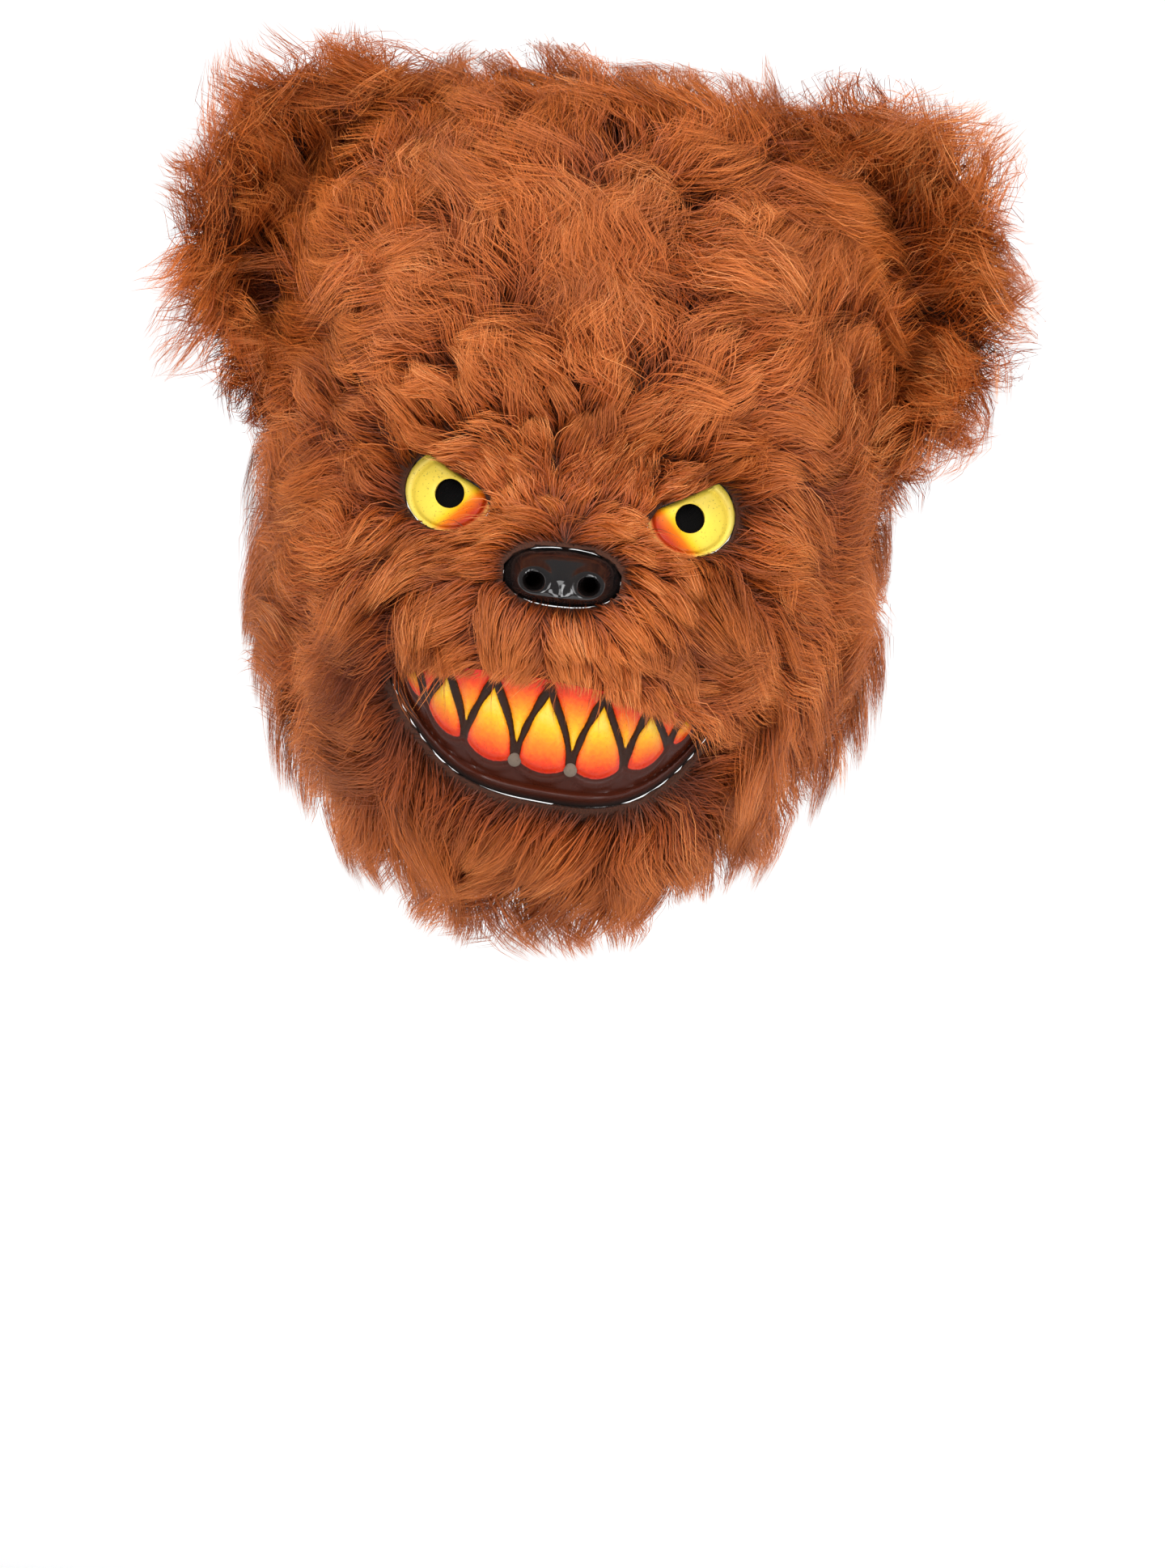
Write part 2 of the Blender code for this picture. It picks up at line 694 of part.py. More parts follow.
def ear_point(side, u, v, depth):
    # u from the ear's low end to its high end, v from the head to the rim
    along, out = (u + 1) / 2, (v + 1) / 2
    foot_side = EAR_FOOT_SIDES[0] + (EAR_FOOT_SIDES[1] - EAR_FOOT_SIDES[0]) * along
    foot_rise = EAR_FOOT_RISES[0] + (EAR_FOOT_RISES[1] - EAR_FOOT_RISES[0]) * along
    foot = form_point(foot_side, foot_rise, -EAR_FOOT_SINK)
    angle = EAR_TURN + EAR_SWEEP * u
    wall = EAR_WALL * (0.5 - depth)
    rim_x = EAR_MIDDLE + (EAR_HALF_WIDTH + wall) * cos(angle)
    rim_z = EAR_LEVEL + (EAR_HALF_HEIGHT + wall) * sin(angle)
    rim = Vector((rim_x, -EAR_FORWARD, rim_z))
    point = foot.lerp(rim, out)
    point.y += EAR_CUP * sin(pi * out) + EAR_WALL * (0.5 - depth) * cos(pi * out / 2)
    return Vector((side * point.x, point.y, point.z))


def make_head_form():
    # Cutter that seats the ears on the fur's backing
    def place(u, v, depth):
        return net_point(u, v, LAYER_GAP + FUR_BACKING + EAR_GAP - depth * EAR_SEAT_CUT)

    return add_cutter("head_form", walled_net("head_form", SKIN_ACROSS, SKIN_UP, place))


def make_ear(side, where, head_form):
    def place(u, v, depth):
        return ear_point(side, u, v, depth)

    ear = add_part("ear_" + where, walled_net("ear_" + where, EAR_ACROSS, EAR_RINGS, place), "fur")
    ear.data.materials.append(material_of("fur"))
    frozen(cut(ear, head_form))

    def blocked(point):
        return head_share(point) < 1 + LOCK_CLEAR / HALF_WIDTH

    return grow_locks(ear, lambda point: EAR_PILE, flow_on_ear, blocked)


def band_point(angle, z, inset):
    # Round the head inside the shell's sides and behind it. Angle 0 is +X, 90 degrees is +Y.
    depth = BAND_BACK if sin(angle) > 0 else FRONT_DEPTH
    across = abs(cos(angle)) / (HALF_WIDTH - inset)
    back = abs(sin(angle)) / (depth - inset)
    reach = 1 / (across**PLAN_BOXINESS + back**PLAN_BOXINESS) ** (1 / PLAN_BOXINESS)
    taper = 1 / from_middle(1, z / form_height(z))
    return Vector((cos(angle) * reach * taper, sin(angle) * reach, z))


def rivet_seat(side):
    # Point of the shell's outside under the rivet, and the way out from it
    angle = -RIVET_ANGLE
    step = radians(1)
    foot = band_point(angle, BAND_LEVEL, 0)
    along = band_point(angle + step, BAND_LEVEL, 0) - band_point(angle - step, BAND_LEVEL, 0)
    normal = Vector((along.y, -along.x, 0)).normalized()
    return Vector((side * foot.x, foot.y, foot.z)), Vector((side * normal.x, normal.y, 0))


def make_band():
    inset = SHELL_WALL + RIVET_PLAY

    def place(u, v, depth):
        angle = pi / 2 + u * (pi / 2 + BAND_END_ANGLE)
        return band_point(angle, BAND_LEVEL + v * BAND_WIDTH / 2, inset + depth * BAND_WALL)

    band = add_part("head_band", walled_net("head_band", BAND_STEPS, 1, place), "band")
    inner = inset + BAND_WALL + RIVET_PLAY
    shank, head = RIVET_SHANK / 2, RIVET_HEAD / 2
    profile = (
        (0, RIVET_PLAY + RIVET_HEAD_WALL),
        (head, RIVET_PLAY + RIVET_HEAD_WALL),
        (head, RIVET_PLAY),
        (shank, RIVET_PLAY),
        (shank, -inner),
        (head, -inner),
        (head, -inner - RIVET_HEAD_WALL),
        (0, -inner - RIVET_HEAD_WALL),
    )
    for side, where in ((1, "right"), (-1, "left")):
        foot, normal = rivet_seat(side)
        reach = normal * RIVET_REACH
        cut(band, drill("band_hole_" + where, RIVET_SHANK + 2 * GAP, foot - reach, foot + reach))
        rivet = turned("rivet_" + where, "rivet", profile)
        rivet.location = foot
        rivet.rotation_mode = "QUATERNION"
        rivet.rotation_quaternion = normal.to_track_quat("Z", "Y")
    return band


for old in list(bpy.data.objects):
    bpy.data.objects.remove(old)
parts = collection("bear_mask")
cutters = collection("cutters")
ear_sites = [
    ear_point(1, u / 12, v / 4, depth)
    for u in range(-12, 13)
    for v in range(-4, 5)
    for depth in (0, 1)
]
make_shell()
make_fur_cover()
make_eye(1, "right")
make_eye(-1, "left")
make_nose()
make_mouth()
ear_seat = make_head_form()
make_ear(1, "right", ear_seat)
make_ear(-1, "left", ear_seat)
make_band()
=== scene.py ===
from math import cos, pi, radians, sin

import bpy
import numpy as np
from mathutils import Matrix, Vector
from mathutils.kdtree import KDTree


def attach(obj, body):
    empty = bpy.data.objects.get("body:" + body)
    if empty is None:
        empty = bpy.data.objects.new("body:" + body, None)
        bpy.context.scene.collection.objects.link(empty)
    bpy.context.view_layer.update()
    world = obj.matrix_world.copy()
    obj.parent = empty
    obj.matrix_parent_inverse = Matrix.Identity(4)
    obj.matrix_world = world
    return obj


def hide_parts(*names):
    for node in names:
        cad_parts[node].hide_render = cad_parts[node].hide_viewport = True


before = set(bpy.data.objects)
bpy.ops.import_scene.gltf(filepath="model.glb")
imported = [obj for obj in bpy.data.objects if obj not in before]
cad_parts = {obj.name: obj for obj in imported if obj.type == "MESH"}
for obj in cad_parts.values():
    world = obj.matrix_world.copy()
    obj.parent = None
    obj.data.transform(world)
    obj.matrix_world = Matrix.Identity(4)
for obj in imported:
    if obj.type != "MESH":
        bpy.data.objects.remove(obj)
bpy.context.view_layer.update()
scene = bpy.context.scene
print("frame loaded")

mm = 0.001


# Form of the head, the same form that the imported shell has

headForm = {
    "halfWidth": 88 * mm,
    "frontDepth": 103 * mm,
    "crownHeight": 122 * mm,
    "jawDepth": 128 * mm,
    "planBoxiness": 2.5,
    "crownBoxiness": 3.4,
    "jawBoxiness": 2.1,
    "sideAngle": radians(83),
    "crownAngle": radians(80),
    "jawAngle": radians(60),
    "furBase": 2.2 * mm,  # top of the fur's cloth over the shell
    # across, level, radius across, up and down, push, as shares of the sizes above
    "swells": (
        (0.00, -0.37, 0.62, 0.30, 0.50, 0.36),
        (0.00, -0.95, 0.50, 0.27, 0.30, 0.20),
        (0.42, 0.22, 0.36, 0.16, 0.14, 0.06),
        (0.60, -0.32, 0.26, 0.24, 0.27, 0.05),
    ),
}


def smoothStep(value):
    value = np.clip(value, 0, 1)
    return value * value * (3 - 2 * value)


def formHeight(z):
    return np.where(z > 0, headForm["crownHeight"], headForm["jawDepth"])


def fromMiddle(across, up):
    boxiness = np.where(up > 0, headForm["crownBoxiness"], headForm["jawBoxiness"])
    return (np.abs(across) ** boxiness + np.abs(up) ** boxiness) ** (1 / boxiness)


def swollen(x, z):
    width, height = headForm["halfWidth"], headForm["crownHeight"]
    push = np.zeros_like(x)
    for across, level, radiusAcross, radiusUp, radiusDown, share in headForm["swells"]:
        rise = z - level * height
        up = np.abs(rise) / (np.where(rise > 0, radiusUp, radiusDown) * height)
        for side in (1, -1) if across else (1,):
            away = np.abs(x - side * across * width) / (radiusAcross * width)
            push = push + share * headForm["frontDepth"] * np.exp(-(away**3) - up**3)
    return push


def faceDepth(x, z):
    # y of the form at the point (x, z) of the front view
    power = headForm["planBoxiness"]
    room = 1 - fromMiddle(x / headForm["halfWidth"], z / formHeight(z)) ** power
    return -headForm["frontDepth"] * np.maximum(room, 0) ** (1 / power) - swollen(x, z)


def onForm(side, rise):
    across, up = np.tan(side), np.tan(rise)
    power = headForm["planBoxiness"]
    size = (fromMiddle(across, up) ** power + 1) ** (1 / power)
    x = headForm["halfWidth"] * across / size
    z = formHeight(up) * up / size
    return np.stack([x, -headForm["frontDepth"] / size - swollen(x, z), z], axis=-1)


def unit(vectors):
    return vectors / np.maximum(np.linalg.norm(vectors, axis=-1, keepdims=True), 1e-12)


def headSkin(u, v):
    # Point and way out of the form, u and v from -1 to 1
    crown, jaw = headForm["crownAngle"], headForm["jawAngle"]
    side, rise = u * headForm["sideAngle"], crown * (v + 1) / 2 - jaw * (1 - v) / 2
    step = radians(0.4)
    along = onForm(side + step, rise) - onForm(side - step, rise)
    up = onForm(side, rise + step) - onForm(side, rise - step)
    return onForm(side, rise), unit(np.cross(along, up))


# Mesh helpers

def addPiece(name, points, faces, material, smooth=True):
    mesh = bpy.data.meshes.new(name)
    mesh.from_pydata(points.tolist(), [], faces)
    mesh.validate()
    if smooth:
        mesh.shade_smooth()
    piece = bpy.data.objects.new(name, mesh)
    scene.collection.objects.link(piece)
    mesh.materials.append(material)
    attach(piece, "root")
    return piece


def gridFaces(across, up, ring=False):
    columns = across if ring else across + 1
    faces = []
    for row in range(up):
        for column in range(across):
            following = (column + 1) % columns
            low, high = row * columns, (row + 1) * columns
            faces.append((low + column, low + following, high + following, high + column))
    return faces


def discFaces(spokes, rings):
    # Rings round one last point in the middle
    last = (rings - 1) * spokes
    middle = [(last + n, last + (n + 1) % spokes, last + spokes) for n in range(spokes)]
    return gridFaces(spokes, rings - 1, ring=True) + middle


def paint(piece, **layers):
    # Each layer is one value a point, that the materials read by name
    for name, values in layers.items():
        layer = piece.data.attributes.new(name, "FLOAT", "POINT")
        layer.data.foreach_set("value", np.asarray(values, dtype=np.float32).ravel())


def places(mesh):
    found = np.empty(len(mesh.vertices) * 3, dtype=np.float32)
    mesh.vertices.foreach_get("co", found)
    return found.reshape(-1, 3)


def thicken(piece, wall):
    # A wall behind the surface, whose points have 1 in the layer "behind"
    front = places(piece.data)
    solid = piece.modifiers.new("wall", "SOLIDIFY")
    solid.thickness = wall
    solid.offset = -1
    graph = bpy.context.evaluated_depsgraph_get()
    mesh = bpy.data.meshes.new_from_object(piece.evaluated_get(graph))
    piece.modifiers.clear()
    piece.data = mesh
    mesh.set_sharp_from_angle(angle=radians(40))
    moved = np.linalg.norm(places(mesh) - np.tile(front, (2, 1)), axis=-1)
    paint(piece, behind=moved > wall / 2)
    return piece


def faceForward(piece, direction=(0, -1, 0)):
    # Turns a sheet's faces so that most look along the direction
    mesh = piece.data
    look = sum(face.area * face.normal.dot(Vector(direction)) for face in mesh.polygons)
    if look < 0:
        mesh.flip_normals()
    return piece


# Shader helpers

def newMaterial(name):
    material = bpy.data.materials.new(name)
    material.use_nodes = True
    return material, material.node_tree, material.node_tree.nodes["Principled BSDF"]


def feed(tree, socket, value):
    # A value, or a link where the value is another node's output
    if isinstance(value, bpy.types.NodeSocket):
        tree.links.new(value, socket)
    else:
        socket.default_value = value


def addNode(tree, kind, values=None, **settings):
    node = tree.nodes.new(kind)
    for name, value in settings.items():
        setattr(node, name, value)
    for name, value in (values or {}).items():
        feed(tree, node.inputs[name], value)
    return node


def mixColour(tree, factor, first, second):
    node = addNode(tree, "ShaderNodeMix", {0: factor, 6: first, 7: second}, data_type="RGBA")
    return node.outputs[2]


def mathNode(tree, operation, first, second=0.0, third=0.0, clamp=False):
    inputs = {0: first, 1: second, 2: third}
    node = addNode(tree, "ShaderNodeMath", inputs, operation=operation, use_clamp=clamp)
    return node.outputs[0]


def readPlace(tree):
    return addNode(tree, "ShaderNodeTexCoord").outputs["Object"]


def readLayer(tree, name):
    return addNode(tree, "ShaderNodeAttribute", attribute_name=name).outputs["Fac"]


def colourRamp(tree, factor, stops):
    node = addNode(tree, "ShaderNodeValToRGB", {"Fac": factor})
    ramp = node.color_ramp
    while len(ramp.elements) < len(stops):
        ramp.elements.new(0.5)
    for element, (place, colour) in zip(ramp.elements, stops):
        element.position = place
        element.color = colour
    return node.outputs["Color"]


def screenColour(red, green, blue):
    # A colour as a screen shows it, 0 to 255
    parts = [part / 255 for part in (red, green, blue)]
    return tuple(p / 12.92 if p <= 0.04045 else ((p + 0.055) / 1.055) ** 2.4 for p in parts) + (1,)


def newGroup(name, inputs, outputs):
    group = bpy.data.node_groups.new(name, "ShaderNodeTree")
    for socket, (kind, value) in inputs.items():
        made = group.interface.new_socket(socket, in_out="INPUT", socket_type=kind)
        made.default_value = value
    for socket, kind in outputs.items():
        group.interface.new_socket(socket, in_out="OUTPUT", socket_type=kind)
    return group, addNode(group, "NodeGroupInput"), addNode(group, "NodeGroupOutput")


def makeMottleGroup():
    # Cloudy change of a colour and its roughness, with fine specks
    group, start, end = newGroup(
        "mottle",
        {
            "Colour": ("NodeSocketColor", (0.5, 0.5, 0.5, 1)),
            "Cloud Scale": ("NodeSocketFloat", 60.0),
            "Cloud Depth": ("NodeSocketFloat", 0.2),
            "Speck Scale": ("NodeSocketFloat", 1500.0),
            "Speck Depth": ("NodeSocketFloat", 0.2),
            "Roughness": ("NodeSocketFloat", 0.4),
        },
        {"Colour": "NodeSocketColor", "Roughness": "NodeSocketFloat", "Height": "NodeSocketFloat"},
    )
    place = readPlace(group)
    cloud = addNode(group, "ShaderNodeTexNoise", {"Vector": place, "Scale": start.outputs["Cloud Scale"]})
    speck = addNode(group, "ShaderNodeTexNoise", {"Vector": place, "Scale": start.outputs["Speck Scale"]})
    cloudMask = mathNode(group, "MULTIPLY", cloud.outputs["Fac"], start.outputs["Cloud Depth"])
    speckMask = mathNode(group, "GREATER_THAN", speck.outputs["Fac"], 0.66)
    speckMask = mathNode(group, "MULTIPLY", speckMask, start.outputs["Speck Depth"])
    darker = mixColour(group, cloudMask, start.outputs["Colour"], (0.02, 0.01, 0.005, 1))
    specked = mixColour(group, speckMask, darker, (0.03, 0.015, 0.008, 1))
    group.links.new(specked, end.inputs["Colour"])
    rough = mathNode(group, "MULTIPLY_ADD", cloud.outputs["Fac"], 0.25, start.outputs["Roughness"])
    group.links.new(rough, end.inputs["Roughness"])
    height = mathNode(group, "MULTIPLY_ADD", cloud.outputs["Fac"], 0.7, speck.outputs["Fac"])
    group.links.new(height, end.inputs["Height"])
    return group


def makeWeaveGroup():
    # Threads over and under, as a height and a mask of the gaps
    group, start, end = newGroup(
        "threadWeave",
        {"Threads": ("NodeSocketFloat", 1500.0), "Gap": ("NodeSocketFloat", 0.35)},
        {"Height": "NodeSocketFloat", "Gap Mask": "NodeSocketFloat"},
    )
    place = addNode(group, "ShaderNodeSeparateXYZ", {"Vector": readPlace(group)})
    across = mathNode(group, "ADD", place.outputs["X"], place.outputs["Y"])
    waveAcross = mathNode(group, "SINE", mathNode(group, "MULTIPLY", across, start.outputs["Threads"]))
    upwards = mathNode(group, "MULTIPLY", place.outputs["Z"], start.outputs["Threads"])
    waveUp = mathNode(group, "SINE", upwards)
    height = mathNode(group, "MULTIPLY", waveAcross, waveUp)
    group.links.new(height, end.inputs["Height"])
    sizeAcross = mathNode(group, "ABSOLUTE", waveAcross)
    size = mathNode(group, "MAXIMUM", sizeAcross, mathNode(group, "ABSOLUTE", waveUp))
    group.links.new(mathNode(group, "LESS_THAN", size, start.outputs["Gap"]), end.inputs["Gap Mask"])
    return group


mottleGroup = makeMottleGroup()
weaveGroup = makeWeaveGroup()


def addGroup(tree, group, **values):
    node = tree.nodes.new("ShaderNodeGroup")
    node.node_tree = group
    for name, value in values.items():
        feed(tree, node.inputs[name.replace("_", " ")], value)
    return node


def addBump(tree, shader, height, strength, distance):
    bump = addNode(tree, "ShaderNodeBump", {"Height": height, "Strength": strength, "Distance": distance})
    tree.links.new(bump.outputs["Normal"], shader.inputs["Normal"])


def finishWith(tree, shader, group, bumpStrength, bumpDistance):
    tree.links.new(group.outputs["Colour"], shader.inputs["Base Color"])
    tree.links.new(group.outputs["Roughness"], shader.inputs["Roughness"])
    addBump(tree, shader, group.outputs["Height"], bumpStrength, bumpDistance)


# Finishes

furLook = {
    "root": screenColour(76, 29, 5),
    "middle": screenColour(176, 80, 20),
    "tip": screenColour(218, 122, 54),
    "bright": screenColour(244, 168, 102),
    "dark": screenColour(100, 37, 4),
    "roughness": 0.5,
    "sheen": 0.06,
}


def makeFurMaterial():
    material, tree, shader = newMaterial("copperFur")
    along = readLayer(tree, "along")
    tone = readLayer(tree, "tone")
    # Darker at the roots and lighter towards the tips: partly the fur's own colour, partly painted shade
    # deep in the coat and painted highlight at the tips
    stops = ((0.0, furLook["root"]), (0.38, furLook["middle"]), (0.95, furLook["tip"]))
    colour = colourRamp(tree, along, stops)
    # Mixed towards dark by random patches and by each strand's tone, which carries the painted shade and
    # painted light from the strands' growth
    place = readPlace(tree)
    patch = addNode(tree, "ShaderNodeTexNoise", {"Vector": place, "Scale": 28.0, "Detail": 3.0})
    patchy = mathNode(tree, "MULTIPLY_ADD", patch.outputs["Fac"], 0.9, -0.74)
    depth = mathNode(tree, "MULTIPLY_ADD", tone, 1.2, patchy)
    depth = mathNode(tree, "MULTIPLY", depth, 0.95, clamp=True)
    # The lightest strands catch the light towards their tips
    lightness = mathNode(tree, "MULTIPLY_ADD", tone, -3.2, 1.0, clamp=True)
    lightness = mathNode(tree, "MULTIPLY", lightness, along)
    colour = mixColour(tree, lightness, colour, furLook["bright"])
    tree.links.new(mixColour(tree, depth, colour, furLook["dark"]), shader.inputs["Base Color"])
    rough = mathNode(tree, "MULTIPLY_ADD", tone, 0.2, furLook["roughness"] - 0.1)
    tree.links.new(rough, shader.inputs["Roughness"])
    shader.inputs["Sheen Weight"].default_value = furLook["sheen"]
    shader.inputs["Sheen Roughness"].default_value = 0.4
    shader.inputs["Sheen Tint"].default_value = screenColour(255, 170, 100)
    shader.inputs["Specular IOR Level"].default_value = 0.3
    return material


barePlastic = screenColour(46, 32, 27)  # the unpainted backs of the mouldings


def makeEyeMaterial():
    material, tree, shader = newMaterial("eyePaint")
    yellow = colourRamp(
        tree,
        readLayer(tree, "blush"),
        (
            (0.0, screenColour(240, 212, 78)),
            (0.25, screenColour(240, 190, 34)),
            (0.5, screenColour(230, 116, 10)),
            (0.9, screenColour(184, 46, 4)),
        ),
    )
    # Painted highlight: a paler yellow ring along the eye's raised rim
    ring = mixColour(tree, readLayer(tree, "ring"), yellow, screenColour(246, 226, 130))
    colour = mixColour(tree, readLayer(tree, "behind"), ring, barePlastic)
    mottled = addGroup(
        tree, mottleGroup, Colour=colour, Cloud_Scale=160.0, Cloud_Depth=0.05,
        Speck_Scale=1400.0, Speck_Depth=0.45, Roughness=0.26,
    )
    finishWith(tree, shader, mottled, 0.05, 0.0002)
    shader.inputs["Specular IOR Level"].default_value = 0.22
    return material


def makeMouthMaterial():
    material, tree, shader = newMaterial("mouthPlastic")
    place = readPlace(tree)
    spray = addNode(tree, "ShaderNodeTexNoise", {"Vector": place, "Scale": 900.0, "Detail": 2.0})
    spread = mathNode(tree, "MULTIPLY_ADD", spray.outputs["Fac"], 0.22, -0.11)
    level = mathNode(tree, "ADD", readLayer(tree, "paintLevel"), spread)
    enamel = colourRamp(
        tree,
        level,
        (
            (0.0, screenColour(204, 34, 16)),
            (0.2, screenColour(224, 62, 18)),
            (0.45, screenColour(236, 126, 22)),
            (0.75, screenColour(240, 184, 28)),
            (1.0, screenColour(246, 208, 90)),
        ),
    )
    gum = mixColour(tree, readLayer(tree, "rim"), screenColour(64, 23, 10), screenColour(20, 14, 12))
    ragged = mathNode(tree, "MULTIPLY_ADD", spray.outputs["Fac"], 0.25, -0.125)
    toothMask = mathNode(tree, "ADD", readLayer(tree, "tooth"), ragged)
    toothMask = mathNode(tree, "MULTIPLY_ADD", toothMask, 6.0, -2.0, clamp=True)
    dark = mixColour(tree, readLayer(tree, "seam"), gum, screenColour(46, 22, 9))
    colour = mixColour(tree, toothMask, dark, enamel)
    colour = mixColour(tree, readLayer(tree, "behind"), colour, barePlastic)
    mottled = addGroup(
        tree, mottleGroup, Colour=colour, Cloud_Scale=220.0, Cloud_Depth=0.08,
        Speck_Scale=2200.0, Speck_Depth=0.3, Roughness=0.16,
    )
    finishWith(tree, shader, mottled, 0.08, 0.0002)
    gloss = mathNode(tree, "MULTIPLY_ADD", toothMask, 0.1, 0.2)
    tree.links.new(gloss, shader.inputs["Specular IOR Level"])
    rough = mathNode(tree, "MULTIPLY_ADD", readLayer(tree, "rim"), 0.5, mottled.outputs["Roughness"])
    tree.links.new(rough, shader.inputs["Roughness"])
    return material


def makePlastic(name, colour, roughness, coat, cloud, speck, bump):
    material, tree, shader = newMaterial(name)
    mottled = addGroup(
        tree, mottleGroup, Colour=colour, Cloud_Scale=90.0, Cloud_Depth=cloud,
        Speck_Scale=1800.0, Speck_Depth=speck, Roughness=roughness,
    )
    finishWith(tree, shader, mottled, bump, 0.0003)
    shader.inputs["Coat Weight"].default_value = coat
    return material


def makeWoven(name, colour, gapColour, threads, roughness, gap=0.45, bump=0.6):
    material, tree, shader = newMaterial(name)
    weave = addGroup(tree, weaveGroup, Threads=threads, Gap=gap)
    mixed = mixColour(tree, weave.outputs["Gap Mask"], colour, gapColour)
    tree.links.new(mixed, shader.inputs["Base Color"])
    shader.inputs["Roughness"].default_value = roughness
    addBump(tree, shader, weave.outputs["Height"], bump, 0.0004)
    return material


furMaterial = makeFurMaterial()
backingMaterial = makeWoven(
    "furBacking", screenColour(70, 34, 16), screenColour(38, 17, 8), 2600.0, 0.95, gap=0.4, bump=0.5
)
print("finishes made")


# Eyes

eyeSizes = {
    "spacing": 74.6 * mm,
    "pupil": 9.2 * mm,
    "width": 27.8 * mm,
    "height": 26 * mm,
    "rise": 1.0 * mm,
    "bulge": 3.2 * mm,
    "edge": 0.8 * mm,
    "wall": 1.4 * mm,
    "browSlope": radians(29.6),
    "browDrop": 6.6 * mm,
    "spokes": 96,
    "rings": 24,
}


def eyeRadius(angle):
    across, up = np.cos(angle), np.sin(angle)
    halfWidth, halfHeight = eyeSizes["width"] / 2, eyeSizes["height"] / 2
    a = (across / halfWidth) ** 2 + (up / halfHeight) ** 2
    b = -up * eyeSizes["rise"] / halfHeight**2
    c = (eyeSizes["rise"] / halfHeight) ** 2 - 1
    oval = (-b + np.sqrt(b * b - a * c)) / a
    towardsBrow = up * cos(eyeSizes["browSlope"]) - across * sin(eyeSizes["browSlope"])
    return np.where(
        towardsBrow * oval > eyeSizes["browDrop"],
        eyeSizes["browDrop"] / np.maximum(towardsBrow, 1e-6),
        oval,
    )


def ovalRadius(angle):
    # The eye's disc without the brow's cut
    across, up = np.cos(angle), np.sin(angle)
    return 1 / np.sqrt((across * 2 / eyeSizes["width"]) ** 2 + (up * 2 / eyeSizes["height"]) ** 2)


def eyeRelief(share, radius, angle):
    rim = radius / ovalRadius(angle)
    groove = 0.8 * mm * np.exp(-(((rim - 0.84) / 0.045) ** 2))
    ridge = 0.5 * mm * np.exp(-(((rim - 0.94) / 0.05) ** 2))
    pupilLip = 0.35 * mm * np.exp(-((share / 0.06) ** 2))
    return eyeSizes["bulge"] - (eyeSizes["bulge"] - eyeSizes["edge"]) * share**3 - groove + ridge - pupilLip


def makeEye(side, where, material):
    spokes, rings = eyeSizes["spokes"], eyeSizes["rings"]
    angle = np.tile(np.arange(spokes) / spokes * 2 * pi, rings + 1)
    share = np.repeat(np.linspace(0, 1, rings + 1), spokes)
    start = eyeSizes["pupil"] / 2
    radius = start + (eyeRadius(angle) - start) * share
    x = side * (eyeSizes["spacing"] / 2 + np.cos(angle) * radius)
    z = np.sin(angle) * radius
    y = faceDepth(x, z) - eyeRelief(share, radius, angle)
    eye = addPiece(
        "painted_eye_" + where, np.stack([x, y, z], axis=-1), gridFaces(spokes, rings, ring=True),
        material,
    )
    towardsNose = -np.cos(angle) * radius / (eyeSizes["width"] / 2)
    low = -np.sin(angle) * radius / (eyeSizes["height"] / 2)
    blush = smoothStep(0.85 * low + 0.95 * towardsNose - 0.08)
    # The ring layer is a painted highlight along the raised rim
    paint(eye, blush=blush, ring=np.exp(-(((radius / ovalRadius(angle) - 0.93) / 0.06) ** 2)) * 0.5)
    faceForward(eye)
    thicken(eye, eyeSizes["wall"])
    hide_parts("eye_" + where)
    return eye


eyeMaterial = makeEyeMaterial()
for eyeSide, eyeWhere in ((1, "right"), (-1, "left")):
    makeEye(eyeSide, eyeWhere, eyeMaterial)


# Nose

noseSizes = {
    "level": -22.6 * mm,
    "width": 36 * mm,
    "height": 18 * mm,
    "bulge": 11.5 * mm,
    "wall": 2.2 * mm,
    "nostrilSpacing": 17 * mm,
    "nostrilDrop": 2.2 * mm,
    "nostrilDepth": 2.2 * mm,
    "hole": 3.8 * mm,
    "holeDepth": 7 * mm,
    "spokes": 128,
    "rings": 56,
}


def noseRadius(angle):
    across = np.abs(np.cos(angle)) / (noseSizes["width"] / 2)
    up = np.abs(np.sin(angle)) / (noseSizes["height"] / 2)
    return (across**2.4 + up**2.4) ** (-1 / 2.4)


def noseRelief(x, z, share):
    # Height over the face, and how deep in a nostril's hole the point is
    halfWidth, halfHeight = noseSizes["width"] / 2, noseSizes["height"] / 2
    # A steep lip, then a flat plane that leans back to the top edge
    lip = np.sqrt(np.clip((halfHeight * 1.02 - z) / (3 * mm), 0, 1))
    plane = np.clip((halfHeight - z) / (halfHeight * 1.15), 0, 1)
    under = np.sqrt(np.clip((z + halfHeight * 1.02) / (2.6 * mm), 0, 1))
    cheeks = 1 - np.clip(np.abs(x) / halfWidth, 0, 1) ** 3.2
    body = noseSizes["bulge"] * lip * (0.86 + 0.14 * plane) * under * cheeks * (1 - share**10)
    lobes, hollow, hole = 0, 0, 0
    for side in (1, -1):
        across = x - side * noseSizes["nostrilSpacing"] / 2
        up = (z + noseSizes["nostrilDrop"]) / 0.9
        away = np.hypot(across, up)
        hollow = hollow + noseSizes["nostrilDepth"] * smoothStep(1.2 - away / (3.6 * mm))
        hole = hole + smoothStep(1.6 - away / (noseSizes["hole"] / 2) * 0.85)
        lobes = lobes + 0.9 * mm * np.exp(-(((away - 4.9 * mm) / (1.5 * mm)) ** 2))
    cleft = 1.1 * mm * np.exp(-((x / (1.7 * mm)) ** 2)) * smoothStep(-z / (halfHeight * 0.6))
    return body + (lobes - hollow - cleft) * (1 - share**4) - noseSizes["holeDepth"] * hole, hole


